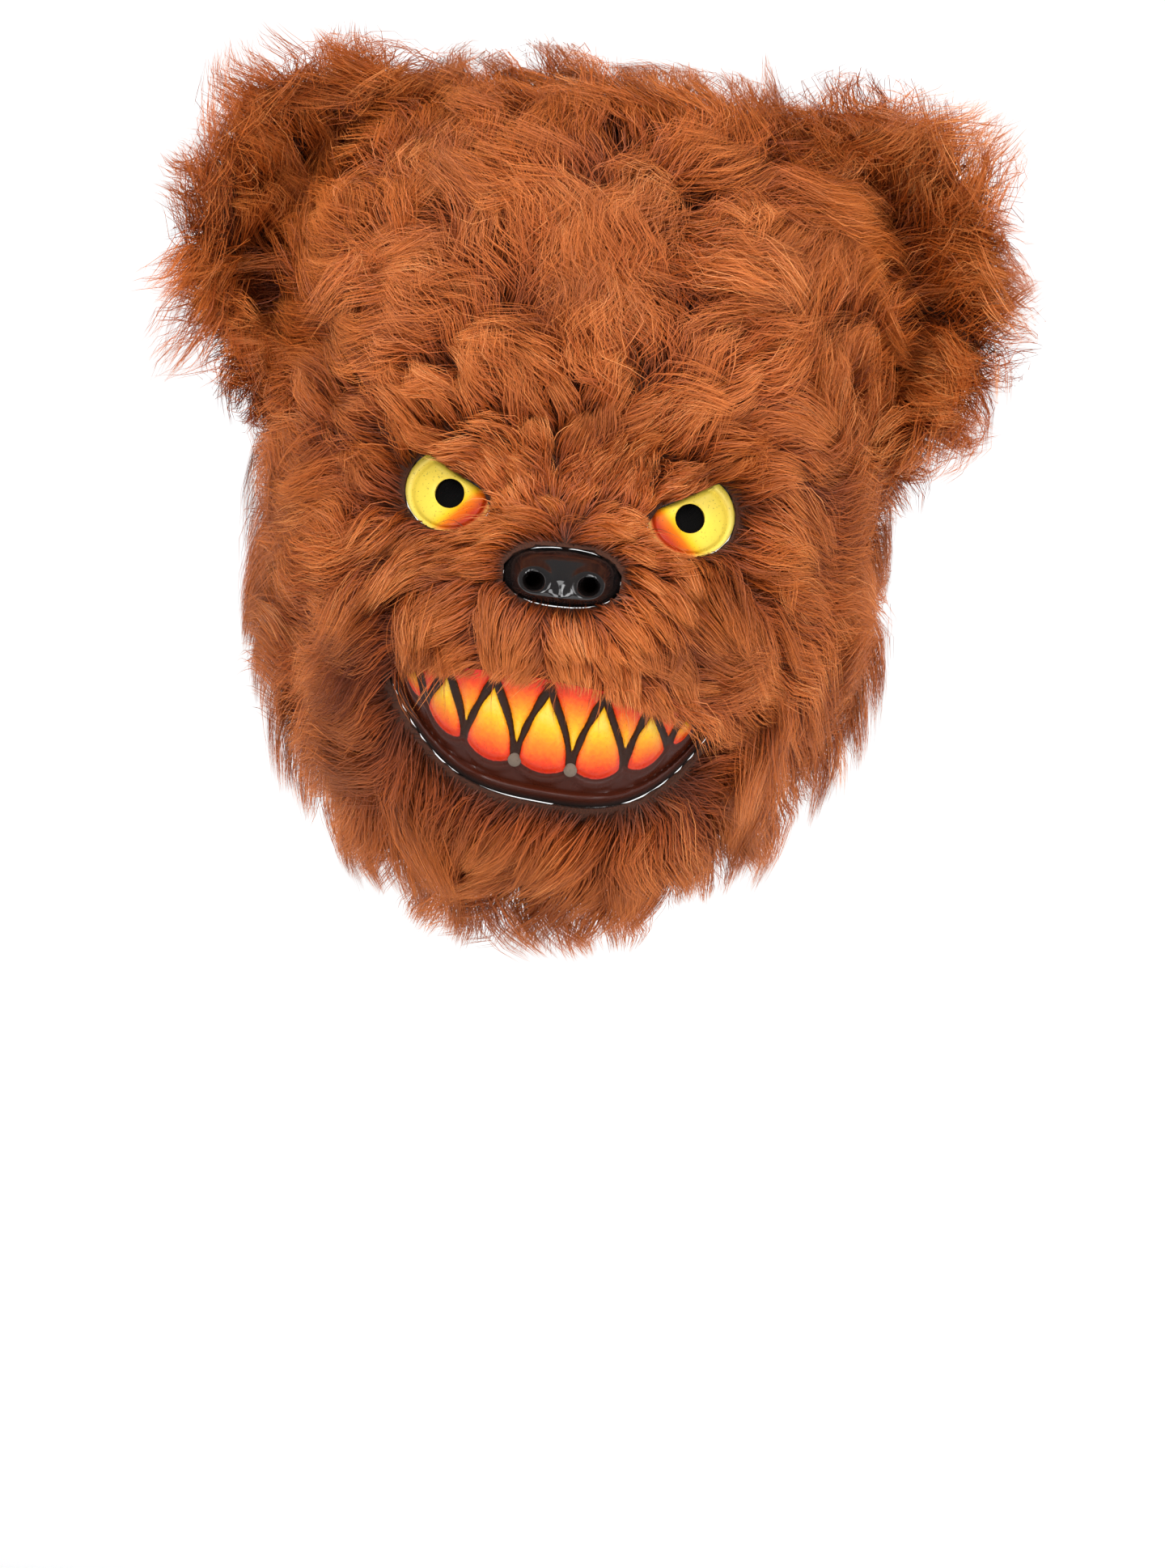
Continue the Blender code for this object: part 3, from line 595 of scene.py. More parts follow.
def makeNoseMaterial():
    material, tree, shader = newMaterial("glossNose")
    # Painted shade: the deep nostril pits are painted near-black, for the shade inside a hole through the
    # nose
    colour = mixColour(tree, readLayer(tree, "hole"), screenColour(17, 17, 19), (0.001, 0.001, 0.001, 1))
    mottled = addGroup(
        tree, mottleGroup, Colour=colour, Cloud_Scale=120.0, Cloud_Depth=0.3,
        Speck_Scale=1900.0, Speck_Depth=0.2, Roughness=0.0,
    )
    finishWith(tree, shader, mottled, 0.02, 0.0002)
    gloss = mathNode(tree, "SUBTRACT", 0.6, readLayer(tree, "hole"), clamp=True)
    tree.links.new(gloss, shader.inputs["Specular IOR Level"])
    return material


def makeNose():
    spokes, rings = noseSizes["spokes"], noseSizes["rings"]
    angle = np.tile(np.arange(spokes) / spokes * 2 * pi, rings)
    share = np.repeat(np.linspace(1, 1 / rings, rings), spokes)
    radius = noseRadius(angle) * share
    x = np.append(np.cos(angle) * radius, 0)
    z = np.append(np.sin(angle) * radius, 0)
    relief, hole = noseRelief(x, z, np.append(share, 0))
    level = noseSizes["level"]
    points = np.stack([x, faceDepth(x, level + z) - relief, level + z], axis=-1)
    nose = addPiece("gloss_nose", points, discFaces(spokes, rings), makeNoseMaterial())
    # The hole layer marks the nostril pits, painted near-black as shade
    paint(nose, hole=hole)
    faceForward(nose)
    thicken(nose, noseSizes["wall"])
    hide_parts("nose")
    return nose


makeNose()
print("eyes and nose made")


# Mouth

mouthSizes = {
    "width": 100 * mm,
    "top": -54.5 * mm,
    "topSag": 3.5 * mm,
    "edge": 0.8 * mm,
    "wall": 1.3 * mm,
    "lipBottom": -91.5 * mm,
    "lipRise": 30 * mm,
    "lipWidth": 5 * mm,
    "lipBulge": 5 * mm,
    "gumBulge": 2.4 * mm,
    "gumHeight": 8 * mm,
    "toothPitch": 17.4 * mm,
    "toothTip": -56.5 * mm,
    "toothRise": 2.6 * mm,
    "toothRound": 3 * mm,
    "seamWidth": 2.5 * mm,
    "bend": 48 * mm,
    "columns": 200,
    "rows": 64,
    "slant": 0.08,  # how much lower the mouth is on the right, a share of the way across
}


def lipLine(x):
    curve = mouthSizes["lipRise"] * (2 * np.abs(x) / mouthSizes["width"]) ** 3
    return mouthSizes["lipBottom"] + curve - mouthSizes["slant"] * x


def mouthTopLine(x):
    sag = mouthSizes["topSag"] * (2 * x / mouthSizes["width"]) ** 2
    return mouthSizes["top"] - sag - mouthSizes["slant"] * x


def seamShare(x):
    bend = mouthSizes["bend"]
    turn = np.arcsin(np.minimum(np.abs(x) / bend, 1)) * bend * 2 / mouthSizes["toothPitch"]
    part = turn - np.floor(turn)
    return np.where(np.floor(turn) % 2 == 1, part, 1 - part)


def seamLine(x):
    # The line that zigzags between the upper and lower teeth, curved as a full tooth is
    foot, tip = lipLine(x) + mouthSizes["gumHeight"], mouthSizes["toothTip"] - mouthSizes["slant"] * x
    return foot + (tip - foot) * (1 - np.arcsin(1 - seamShare(x)) / (pi / 2))


def teethField(x, z):
    # Tooth mask, seam mask, height of the teeth and level of their paint
    foot, share = lipLine(x) + mouthSizes["gumHeight"], seamShare(x)
    tip = mouthSizes["toothTip"] - mouthSizes["slant"] * x
    seam = seamLine(x)
    fromSeam = np.full_like(x, 1.0)
    for aside in np.arange(-4 * mm, 4 * mm, 0.08 * mm):
        fromSeam = np.minimum(fromSeam, np.hypot(aside, z - seamLine(x + aside)))
    wobble = np.sin(z / (1.9 * mm) + x / (2.3 * mm)) + np.sin(z / (4.1 * mm))
    fromSeam = np.abs(fromSeam + 0.16 * mm * wobble)
    aboveFoot = z - foot - mouthSizes["toothRound"] * (1 - share) ** 2
    onTooth = smoothStep(2 * fromSeam / mouthSizes["seamWidth"] - 0.5)
    standing = smoothStep(aboveFoot / (1.6 * mm))
    dome = smoothStep(fromSeam / (4.5 * mm)) * 0.6 + 0.4 * onTooth
    height = dome * smoothStep(aboveFoot / mouthSizes["toothRound"])
    level = (z - foot) / np.maximum(tip - foot, 1 * mm)
    lower = z < seam
    fromTop = (mouthTopLine(x) - z) / (26 * mm)
    paintLevel = np.where(lower, 1.35 * level, 1.45 * fromTop)
    paintLevel = np.clip(paintLevel, 0, 0.9) - 0.25 * (1 - smoothStep(fromSeam / (3 * mm)))
    seamMask = (1 - onTooth) * standing
    return onTooth * standing, seamMask, height, np.clip(paintLevel, 0, 1)


def mouthRelief(x, z):
    above = (z - lipLine(x)) / mouthSizes["lipWidth"]
    edge = mouthSizes["edge"]
    lip = (mouthSizes["lipBulge"] - edge) * np.exp(-(((above - 0.55) / 0.36) ** 2))
    gum = (mouthSizes["gumBulge"] - edge) * smoothStep(above)
    foot = lipLine(x) + mouthSizes["gumHeight"] + mouthSizes["toothRound"] * (1 - seamShare(x)) ** 2
    scallop = 0.9 * mm * np.exp(-(((z - foot + 1.2 * mm) / (1.3 * mm)) ** 2))
    height = teethField(x, z)[2]
    return edge + np.maximum(lip, gum) + mouthSizes["toothRise"] * height + scallop


def makeMouth():
    columns, rows = mouthSizes["columns"], mouthSizes["rows"]
    x = np.tile(np.linspace(-0.5, 0.5, columns + 1) * mouthSizes["width"], rows + 1)
    share = np.repeat(np.linspace(0, 1, rows + 1), columns + 1)
    z = lipLine(x) + (mouthTopLine(x) - lipLine(x)) * share
    y = faceDepth(x, z) - mouthRelief(x, z)
    faces = gridFaces(columns, rows)
    mouth = addPiece(
        "grinning_mouth", np.stack([x, y, z], axis=-1), faces, makeMouthMaterial()
    )
    tooth, seam, _, paintLevel = teethField(x, z)
    rim = 1 - smoothStep((z - lipLine(x)) / mouthSizes["lipWidth"] / 0.55)
    paint(mouth, tooth=tooth, seam=seam, paintLevel=paintLevel, rim=rim)
    faceForward(mouth)
    thicken(mouth, mouthSizes["wall"])
    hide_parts("mouth")
    return mouth


makeMouth()


ventSizes = {
    "radius": 2.1 * mm,
    "dome": 0.7 * mm,
    "proud": 0.5 * mm,
    "sink": 1.2 * mm,
}


def makeVent(side, where, material):
    # A small dull stud where two teeth meet the gum
    x = side * mouthSizes["bend"] * sin(mouthSizes["toothPitch"] / 2 / mouthSizes["bend"])
    z = lipLine(np.array([x]))[0] + mouthSizes["gumHeight"] + mouthSizes["toothRound"]
    spokes, rings = 28, 8
    share = np.append(np.repeat([1.0, 1.0, 0.97, 0.88, 0.7, 0.5, 0.3, 0.12], spokes), 0)
    angle = np.append(np.tile(np.arange(spokes) / spokes * 2 * pi, rings), 0)
    height = ventSizes["proud"] + ventSizes["dome"] * (1 - share**2)
    height[:spokes] = -ventSizes["sink"]
    seat = faceDepth(np.array([x]), np.array([z]))[0] - mouthRelief(np.array([x]), np.array([z]))[0]
    across, up = np.cos(angle) * share, np.sin(angle) * share
    points = np.stack(
        [x + ventSizes["radius"] * across, seat - height, z + ventSizes["radius"] * up], axis=-1
    )
    faces = discFaces(spokes, rings) + [tuple(range(spokes))[::-1]]
    vent = addPiece("vent_stud_" + where, points, faces, material)
    vent.data.set_sharp_from_angle(angle=radians(50))
    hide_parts("vent_" + where)


ventMaterial = makePlastic("ventPlastic", screenColour(112, 98, 84), 0.7, 0.0, 0.4, 0.4, 0.3)
for ventSide, ventWhere in ((1, "right"), (-1, "left")):
    makeVent(ventSide, ventWhere, ventMaterial)
print("mouth made")


# Fur: where it grows

furOpenings = {
    "cloth": 0.5 * mm,  # the cloth's edge, outside each moulding
    "roots": 0.0 * mm,
    "overhang": (0.5 * mm, 0.6 * mm, 1.3 * mm),  # most strands' reach over the eyes, nose and mouth
    "stray": 0.035,  # share of strands that may reach further
}


def openingGaps(x, z):
    # How far a point of the front view is outside the eyes, nose and mouth
    eyeX = np.abs(x) - eyeSizes["spacing"] / 2
    eye = np.hypot(eyeX, z) - eyeRadius(np.arctan2(z, eyeX))
    noseZ = z - noseSizes["level"]
    nose = np.hypot(x, noseZ) - noseRadius(np.arctan2(noseZ, x))
    beside = np.abs(x) - mouthSizes["width"] / 2
    mouth = np.maximum(np.maximum(lipLine(x) - z, z - mouthTopLine(x)), beside)
    return eye, nose, mouth


def nearestGap(x, z):
    return np.minimum.reduce(openingGaps(x, z))


def makeFurCloth():
    steps = 84
    v, u = (axis.ravel() for axis in np.meshgrid(*[np.linspace(-1, 1, steps + 1)] * 2, indexing="ij"))
    skin, normal = headSkin(u, v)
    points = skin + normal * headForm["furBase"]
    x, z = points[:, 0], points[:, 2]
    inside = nearestGap(x, z) < furOpenings["cloth"]
    faces = [face for face in gridFaces(steps, steps) if not all(inside[list(face)])]
    # Points of the cloth that fall in an opening move out to its edge
    rim = sorted({index for face in faces for index in face if inside[index]})
    px, pz = x[rim], z[rim]
    step = 0.2 * mm
    for _ in range(6):
        here = nearestGap(px, pz)
        slopeX, slopeZ = (nearestGap(px + step, pz) - here) / step, (nearestGap(px, pz + step) - here) / step
        move = (furOpenings["cloth"] - here) / np.maximum(slopeX**2 + slopeZ**2, 0.2)
        px, pz = px + slopeX * move, pz + slopeZ * move
    points[rim] = np.stack([px, faceDepth(px, pz) - headForm["furBase"], pz], axis=-1)
    used = sorted({index for face in faces for index in face})
    place = {old: new for new, old in enumerate(used)}
    faces = [tuple(place[index] for index in face) for face in faces]
    cloth = addPiece("fur_cloth", points[used], faces, backingMaterial)
    faceForward(cloth)
    area = sum(face.area for face in cloth.data.polygons)
    thicken(cloth, 1.2 * mm)
    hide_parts("fur_cover")
    return cloth, area


furCloth, furClothArea = makeFurCloth()


# Ears

earSizes = {
    "middle": 78 * mm,
    "level": 77 * mm,
    "halfWidth": 43 * mm,
    "halfHeight": 50 * mm,
    "forward": 40 * mm,
    "cup": 18 * mm,
    "wall": 5 * mm,
    "turn": radians(20),
    "sweep": radians(95),
    "footSides": (radians(71), radians(62)),
    "footRises": (radians(27), radians(70)),
    "footLift": 1.2 * mm,  # off the shell, under the head's fur
}


def earPoint(side, u, v, depth):
    # u round the ear, v from its foot to its rim, depth 0 behind and 1 in front
    along, out = (u + 1) / 2, (v + 1) / 2
    footSide = earSizes["footSides"][0] + (earSizes["footSides"][1] - earSizes["footSides"][0]) * along
    footRise = earSizes["footRises"][0] + (earSizes["footRises"][1] - earSizes["footRises"][0]) * along
    step = radians(0.4)
    across = onForm(footSide + step, footRise) - onForm(footSide - step, footRise)
    up = onForm(footSide, footRise + step) - onForm(footSide, footRise - step)
    foot = onForm(footSide, footRise) + unit(np.cross(across, up)) * earSizes["footLift"]
    angle = earSizes["turn"] + earSizes["sweep"] * u
    wall = earSizes["wall"] * (0.5 - depth)
    rimX = earSizes["middle"] + (earSizes["halfWidth"] + wall) * np.cos(angle)
    rimZ = earSizes["level"] + (earSizes["halfHeight"] + wall) * np.sin(angle)
    rim = np.stack([rimX, np.full_like(rimX, -earSizes["forward"]), rimZ], axis=-1)
    point = foot + (rim - foot) * out[:, None]
    bend = earSizes["wall"] * (0.5 - depth) * np.cos(pi * out / 2)
    point[:, 1] += earSizes["cup"] * np.sin(pi * out) + bend
    point[:, 0] *= side
    return point


def makeEarPad(side, where):
    steps, ringSteps = 48, 14
    rows = []
    for depth, outs in ((1, np.linspace(-1, 1, ringSteps)), (0, np.linspace(1, -1, ringSteps))):
        for v in outs:
            u = np.linspace(-1, 1, steps + 1)
            rows.append(earPoint(side, u, np.full_like(u, v), depth))
    points = np.concatenate(rows)
    faces = gridFaces(steps, len(rows) - 1)
    last = (len(rows) - 1) * (steps + 1)
    faces += [(last + n, last + n + 1, n + 1, n) for n in range(steps)]
    for column in (0, steps):
        edge = [row * (steps + 1) + column for row in range(len(rows))]
        for n in range(ringSteps - 1):
            face = (edge[n], edge[n + 1], edge[-n - 2], edge[-n - 1])
            faces.append(face if column == 0 else face[::-1])
    pad = addPiece("ear_cloth_" + where, points, faces, backingMaterial)
    pad.data.validate()
    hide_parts("ear_" + where)
    return pad


for earSide, earWhere in ((1, "right"), (-1, "left")):
    makeEarPad(earSide, earWhere)
print("cloth made")


# Fur: strands

furPlan = {
    "seed": 11,
    "headStrands": 94000,
    "earStrands": 12000,
    "rowShares": (0, 0.3, 0.55, 0.78, 1),
    "fineRows": 14,
    "halfWidth": 0.15 * mm,
    "lockStrands": 190,
    "wispStrands": 22,
    "lockPull": 0.66,
    "wispPull": 0.86,
    "waveSize": 3.8 * mm,
    "waveLength": 34 * mm,
    "droop": 0.14,
    "underShare": 0.22,
    "flowLevel": -12 * mm,
    "swirl": radians(46),
    "swirlSize": 56 * mm,
}

# across, level, spread across, spread up, length in mm, lift in degrees
furField = (
    (0, 70, 46, 34, 42, 50),
    (0, 126, 96, 20, 58, 82),
    (80, 84, 16, 40, 42, 68),
    (40, 28, 26, 12, 24, 50),
    (0, 8, 18, 18, 15, 42),
    (0, -20, 26, 14, 11, 36),
    (34, -38, 18, 14, 17, 38),
    (0, -42, 22, 9, 12, 30),
    (80, -25, 30, 40, 38, 50),
    (84, 30, 20, 40, 34, 50),
    (0, -112, 40, 18, 31, 46),
    (62, -100, 22, 20, 32, 44),
    (0, -98, 60, 7, 22, 54),
    (38, 1, 19, 17, 17, 60),
    (60, -66, 12, 18, 28, 36),
)


def waveNoise(points, size, seed):
    # Smooth noise, about -1 to 1, that changes over the size
    generator = np.random.default_rng(seed)
    total = np.zeros(len(points))
    for _ in range(6):
        direction = unit(generator.normal(size=3))
        pace = 2 * pi / size * generator.uniform(0.6, 1.5)
        total += np.sin(points @ direction * pace + generator.uniform(0, 2 * pi))
    return total / 3


def furAt(points):
    x, z = np.abs(points[:, 0]) / mm, points[:, 2] / mm
    total = np.full(len(x), 0.02)
    length, lift = total * 32, total * 48
    for across, level, spreadAcross, spreadUp, size, angle in furField:
        weight = np.exp(-(((x - across) / spreadAcross) ** 2) - ((z - level) / spreadUp) ** 2)
        total = total + weight
        length = length + weight * size
        lift = lift + weight * angle
    return length / total * mm, np.radians(lift / total)


def headFlow(points, normals):
    # The way the fur lies: out from the nose, swirled, and clear of the openings
    x, z = points[:, 0], points[:, 2]
    rise = z - furPlan["flowLevel"]
    calm = smoothStep((np.hypot(x, rise) - 25 * mm) / (50 * mm))
    heading = np.arctan2(rise, x) + furPlan["swirl"] * calm * waveNoise(points, furPlan["swirlSize"], 5)
    flow = np.stack([np.cos(heading), np.zeros_like(x), np.sin(heading)], axis=-1)
    step = 0.5 * mm
    sides = zip(
        openingGaps(x, z), openingGaps(x + step, z), openingGaps(x, z + step), (0.8, 0.5, 1.4)
    )
    for index, (here, besideIt, aboveIt, strength) in enumerate(sides):
        slope = np.stack([besideIt - here, np.zeros_like(x), aboveIt - here], axis=-1)
        weight = strength * np.exp(-((np.maximum(here, 0) / (9 * mm)) ** 2))
        if index == 2:
            weight = weight * (z < mouthTopLine(x))
        flow = flow + unit(slope) * weight[:, None]
    flow = flow - normals * np.sum(flow * normals, axis=-1, keepdims=True)
    return unit(flow)


def nearestOf(points, seeds):
    tree = KDTree(len(seeds))
    for index, seed in enumerate(seeds):
        tree.insert(seed, index)
    tree.balance()
    return np.array([tree.find(point)[1] for point in points])


def turned(flows, normals, angles):
    side = np.cross(normals, flows)
    return flows * np.cos(angles)[:, None] + side * np.sin(angles)[:, None]


def strandPaths(normals, flows, lengths, lifts, phases):
    t = np.linspace(0, 1, furPlan["fineRows"])[None, :, None]
    size, lift, phase = (value[:, None, None] for value in (lengths, lifts, phases))
    along = flows[:, None, :] * (t * np.cos(lift) + 0.22 * t * t)
    out = normals[:, None, :] * (t * np.sin(lift) * (1 - 0.5 * t))
    side = np.cross(normals, flows)[:, None, :]
    swing = np.sin(phase + 2 * pi * t * size / furPlan["waveLength"]) - np.sin(phase)
    wave = side * swing * furPlan["waveSize"] * np.minimum(size / (30 * mm), 1) ** 2
    fall = np.array([0, 0, -furPlan["droop"]]) * t * t
    return size * (along + out + fall) + wave


def drawn(paths, roots, guides, guideRoots, pull):
    # Paths from their roots, drawn towards their guides' paths
    t = np.linspace(0, 1, furPlan["fineRows"])[None, :, None]
    share = pull * t**1.2
    return paths * (1 - share) + (guides + (guideRoots - roots)[:, None, :]) * share


def growStrands(roots, normals, flows, lengths, lifts, generator, wispPull=furPlan["wispPull"]):
    count = len(roots)
    spread = roots + normals * 12 * mm
    locks = generator.choice(count, max(count // furPlan["lockStrands"], 4), replace=False)
    wisps = generator.choice(count, max(count // furPlan["wispStrands"], 8), replace=False)
    lockOf = nearestOf(spread, spread[locks])
    wispOf = nearestOf(spread, spread[wisps])
    lockSize = generator.uniform(0.72, 1.16, len(locks))
    lockPhase = generator.uniform(0, 2 * pi, len(locks))
    lockTurn = generator.normal(0, radians(24), len(locks))
    lockLift = generator.normal(0, radians(11), len(locks))
    lockTone = generator.uniform(0, 1, len(locks))
    lockPaths = strandPaths(
        normals[locks], turned(flows[locks], normals[locks], lockTurn),
        lengths[locks] * lockSize, lifts[locks] + lockLift, lockPhase,
    )
    own = lockOf[wisps]
    wispPhase = lockPhase[own] + generator.normal(0, 0.7, len(wisps))
    wispTurn = lockTurn[own] + generator.normal(0, radians(12), len(wisps))
    wispSize = lockSize[own] * generator.uniform(0.82, 1.1, len(wisps))
    wispTone = generator.uniform(0, 1, len(wisps))
    wispPaths = strandPaths(
        normals[wisps], turned(flows[wisps], normals[wisps], wispTurn),
        lengths[wisps] * wispSize, lifts[wisps] + lockLift[own], wispPhase,
    )
    wispPaths = drawn(wispPaths, roots[wisps], lockPaths[own], roots[locks][own], furPlan["lockPull"])
    under = generator.random(count) < furPlan["underShare"]
    size = wispSize[wispOf] * generator.uniform(0.8, 1.04, count) * np.where(under, 0.5, 1)
    turn = wispTurn[wispOf] + generator.normal(0, radians(15), count)
    paths = strandPaths(
        normals, turned(flows, normals, turn), lengths * size,
        lifts + generator.normal(0, radians(8), count),
        wispPhase[wispOf] + generator.normal(0, 0.5, count),
    )
    pull = wispPull * np.where(under, 0.3, generator.uniform(0.7, 1.05, count))
    reach = generator.uniform(0.84, 1.0, count)[:, None, None]
    paths = drawn(
        paths, roots, wispPaths[wispOf] * reach, roots[wisps][wispOf], pull[:, None, None]
    )
    # Painted shade: a lock is darker towards its edge, where its strands lie low and shade falls between the
    # locks, and the short under strands, deep in the coat, are painted darker too
    away = np.linalg.norm(roots - roots[locks][lockOf], axis=-1)
    edge = smoothStep(away / (1.6 * np.median(away)) - 0.4)
    tone = 0.2 * lockTone[lockOf] + 0.25 * wispTone[wispOf] + 0.3 * generator.random(count) + 0.3 * edge
    return roots[:, None, :] + paths, np.clip(tone + np.where(under, 0.45, 0), 0, 1)


def keepOutside(rows):
    # Strands lie on the fur's cloth and don't dip into the head
    x, y, z = rows[..., 0], rows[..., 1], rows[..., 2]
    reach = fromMiddle(x / headForm["halfWidth"], z / formHeight(z))
    skin = faceDepth(x, z) - headForm["furBase"] * 1.2
    rows[..., 1] = np.where(reach < 0.95, np.minimum(y, skin), y)
    return rows


def endBefore(blocked):
    # The share of each strand that is kept, and which strands are long enough to keep
    last = furPlan["fineRows"] - 1
    first = np.where(blocked.any(axis=1), blocked.argmax(axis=1), last)
    return np.maximum(first, 1) / last, first > 1


def trimAtOpenings(rows, generator):
    # Strands that would lie over a moulding end at its edge, apart from some strays
    eye, nose, mouth = openingGaps(rows[..., 0], rows[..., 2])
    count = len(rows)
    eyeReach, noseReach, mouthReach = (
        reach * generator.uniform(0.2, 1.9, count) for reach in furOpenings["overhang"]
    )
    ragged = 1.6 * mm * (1 + waveNoise(rows[:, 0], 16 * mm, 3)) * (rows[:, 0, 2] > -60 * mm)
    over = (eye < -eyeReach[:, None]) | (nose < -noseReach[:, None])
    over = over | (mouth < -(mouthReach + ragged)[:, None])
    over = over & (rows[..., 1] < 0)
    stray = generator.random(count) < furOpenings["stray"]
    return endBefore(over & ~stray[:, None])


def resample(rows, ends):
    # The plan's few rows, from each strand's root to its end
    last = rows.shape[1] - 1
    place = np.array(furPlan["rowShares"])[None, :] * ends[:, None] * last
    low = np.minimum(place.astype(int), last - 1)
    part = (place - low)[..., None]
    strand = np.arange(len(rows))[:, None]
    return rows[strand, low] * (1 - part) + rows[strand, low + 1] * part


def addFur(name, rows, normals, tones, generator):
    # One thin tapered ribbon a strand, ending in a point
    count, steps = len(rows), len(furPlan["rowShares"]) - 1
    tangent = unit(np.gradient(rows, axis=1))
    facing = unit(normals + 0.75 * generator.normal(size=normals.shape) / 1.7)
    side = unit(np.cross(tangent, facing[:, None, :]))
    taper = np.sqrt(1.05 - np.array(furPlan["rowShares"][:-1]))
    width = furPlan["halfWidth"] * generator.uniform(0.75, 1.2, count)[:, None, None] * taper[None, :, None]
    left, right = rows[:, :-1] - side[:, :-1] * width, rows[:, :-1] + side[:, :-1] * width
    pairs = np.stack([left, right], axis=2).reshape(count, steps * 2, 3)
    points = np.concatenate([pairs, rows[:, -1:]], axis=1)
    perStrand = steps * 2 + 1
    start = np.arange(count)[:, None] * perStrand
    quads = np.array([[2 * n, 2 * n + 1, 2 * n + 3, 2 * n + 2] for n in range(steps - 1)]).ravel()
    corners = np.concatenate([quads, [2 * steps - 2, 2 * steps - 1, 2 * steps]])
    loops = (start + corners[None, :]).ravel()
    sizes = np.tile([4] * (steps - 1) + [3], count)
    mesh = bpy.data.meshes.new(name)
    mesh.vertices.add(count * perStrand)
    mesh.vertices.foreach_set("co", points.astype(np.float32).ravel())
    mesh.loops.add(len(loops))
    mesh.loops.foreach_set("vertex_index", loops.astype(np.int32))
    mesh.polygons.add(len(sizes))
    mesh.polygons.foreach_set("loop_start", (np.cumsum(sizes) - sizes).astype(np.int32))
    mesh.update(calc_edges=True)
    mesh.shade_smooth()
    along = np.append(np.repeat(furPlan["rowShares"][:-1], 2), 1.0)
    across = np.append(np.tile([0.0, 1.0], steps), 0.5)
    cells = int(np.ceil(np.sqrt(count)))
    column, row = np.arange(count) % cells, np.arange(count) // cells
    spotU = (column[:, None] + 0.15 + 0.7 * across[None, :]) / cells
    spotV = (row[:, None] + 0.08 + 0.84 * along[None, :]) / cells
    spots = np.stack([spotU.ravel()[loops], spotV.ravel()[loops]], axis=-1)
    mesh.uv_layers.new(name="OFBake").data.foreach_set("uv", spots.astype(np.float32).ravel())
    mesh.materials.append(furMaterial)
    piece = bpy.data.objects.new(name, mesh)
    scene.collection.objects.link(piece)
    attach(piece, "root")
    paint(piece, along=np.tile(along, count), tone=np.repeat(tones, perStrand))
    print(name, count, "strands")
    return piece


def sampleHead(count, generator):
    # Roots spread over the skin, denser where the fur is short
    steps = 200
    edge = np.linspace(-1, 1, steps + 1)
    middle = (edge[:-1] + edge[1:]) / 2
    v, u = (axis.ravel() for axis in np.meshgrid(middle, middle, indexing="ij"))
    half = 1 / steps
    skin, _ = headSkin(u, v)
    across = headSkin(u + half, v)[0] - headSkin(u - half, v)[0]
    up = headSkin(u, v + half)[0] - headSkin(u, v - half)[0]
    area = np.linalg.norm(np.cross(across, up), axis=-1)
    density = np.clip(30 * mm / furAt(skin)[0], 0.8, 2.0)
    gap = nearestGap(skin[:, 0], skin[:, 2])
    chance = area * density * (gap > -2 * mm)
    cells = generator.choice(len(u), int(count * 1.1), p=chance / chance.sum())
    u = u[cells] + generator.uniform(-half, half, len(cells))
    v = v[cells] + generator.uniform(-half, half, len(cells))
    skin, normals = headSkin(u, v)
    gap = nearestGap(skin[:, 0], skin[:, 2])
    kept = np.flatnonzero(gap > furOpenings["roots"])[:count]
    return skin[kept] + normals[kept] * headForm["furBase"], normals[kept]


def makeHeadFur():
    generator = np.random.default_rng(furPlan["seed"])
    roots, normals = sampleHead(furPlan["headStrands"], generator)
    flows = headFlow(roots, normals)
    lengths, lifts = furAt(roots)
    rows, tones = growStrands(roots, normals, flows, lengths, lifts, generator)
    # The tuft over the middle of the mouth and the fur at its corners are nearly black
    x, z = roots[:, 0] / mm, roots[:, 2] / mm
    tuft = np.exp(-((x / 3.2) ** 2) - ((z + 53) / 4) ** 2)
    corner = np.exp(-(((np.abs(x) - 52) / 5) ** 2) - ((z + 58 + 0.08 * x) / 7) ** 2)
    tones = np.clip(tones + 1.2 * tuft + 0.6 * corner, 0, 1.4)
    rows = keepOutside(rows)
    ends, kept = trimAtOpenings(rows, generator)
    rows, normals, tones = resample(rows, ends)[kept], normals[kept], tones[kept]
    x, z = rows[:, 0, 0], rows[:, 0, 2]
    crown = z > 12 * mm
    muzzle = ~crown & (np.abs(x) < 50 * mm) & (z > -56 * mm)
    chin = ~crown & ~muzzle & (np.abs(x) < 50 * mm)
    cheek = ~(crown | muzzle | chin)
    parts = (
        ("fur_crown_left", crown & (x < 0)),
        ("fur_crown_right", crown & (x >= 0)),
        ("fur_cheek_left", cheek & (x < 0)),
        ("fur_cheek_right", cheek & (x >= 0)),
        ("fur_muzzle", muzzle),
        ("fur_chin", chin),
    )
    coat = [addFur(name, rows[n], normals[n], tones[n], generator) for name, n in parts]


earFur = {
    "length": 38 * mm,
    "footLength": 24 * mm,
    "lift": radians(44),
    "fan": 0.5,
    "rightTop": 10 * mm,  # the right ear stands higher
    "frontShare": 0.6,
    "rimShare": 0.14,
    "endShare": 0.1,
    "scatter": 0.28,
    "wispPull": 0.96,
    "clear": 1.03,  # as shares of the head's size
    "deepest": 0.86,
    "rightEarPaintedLight": -0.14,  # painted light, the right ear's fur lighter as if more light fell on it; below 0 is lighter
}


def clearOfHead(rows):
    # Ear strands are pushed off the head, and end where they would go deep into it
    power = headForm["planBoxiness"]
    x, y, z = rows[..., 0], rows[..., 1], rows[..., 2]
    across = fromMiddle(x / headForm["halfWidth"], z / formHeight(z))
    reach = (across**power + (np.abs(y) / headForm["frontDepth"]) ** power) ** (1 / power)
    pushed = rows * np.maximum(earFur["clear"] / reach, 1)[..., None]
    return pushed, *endBefore(reach < earFur["deepest"])


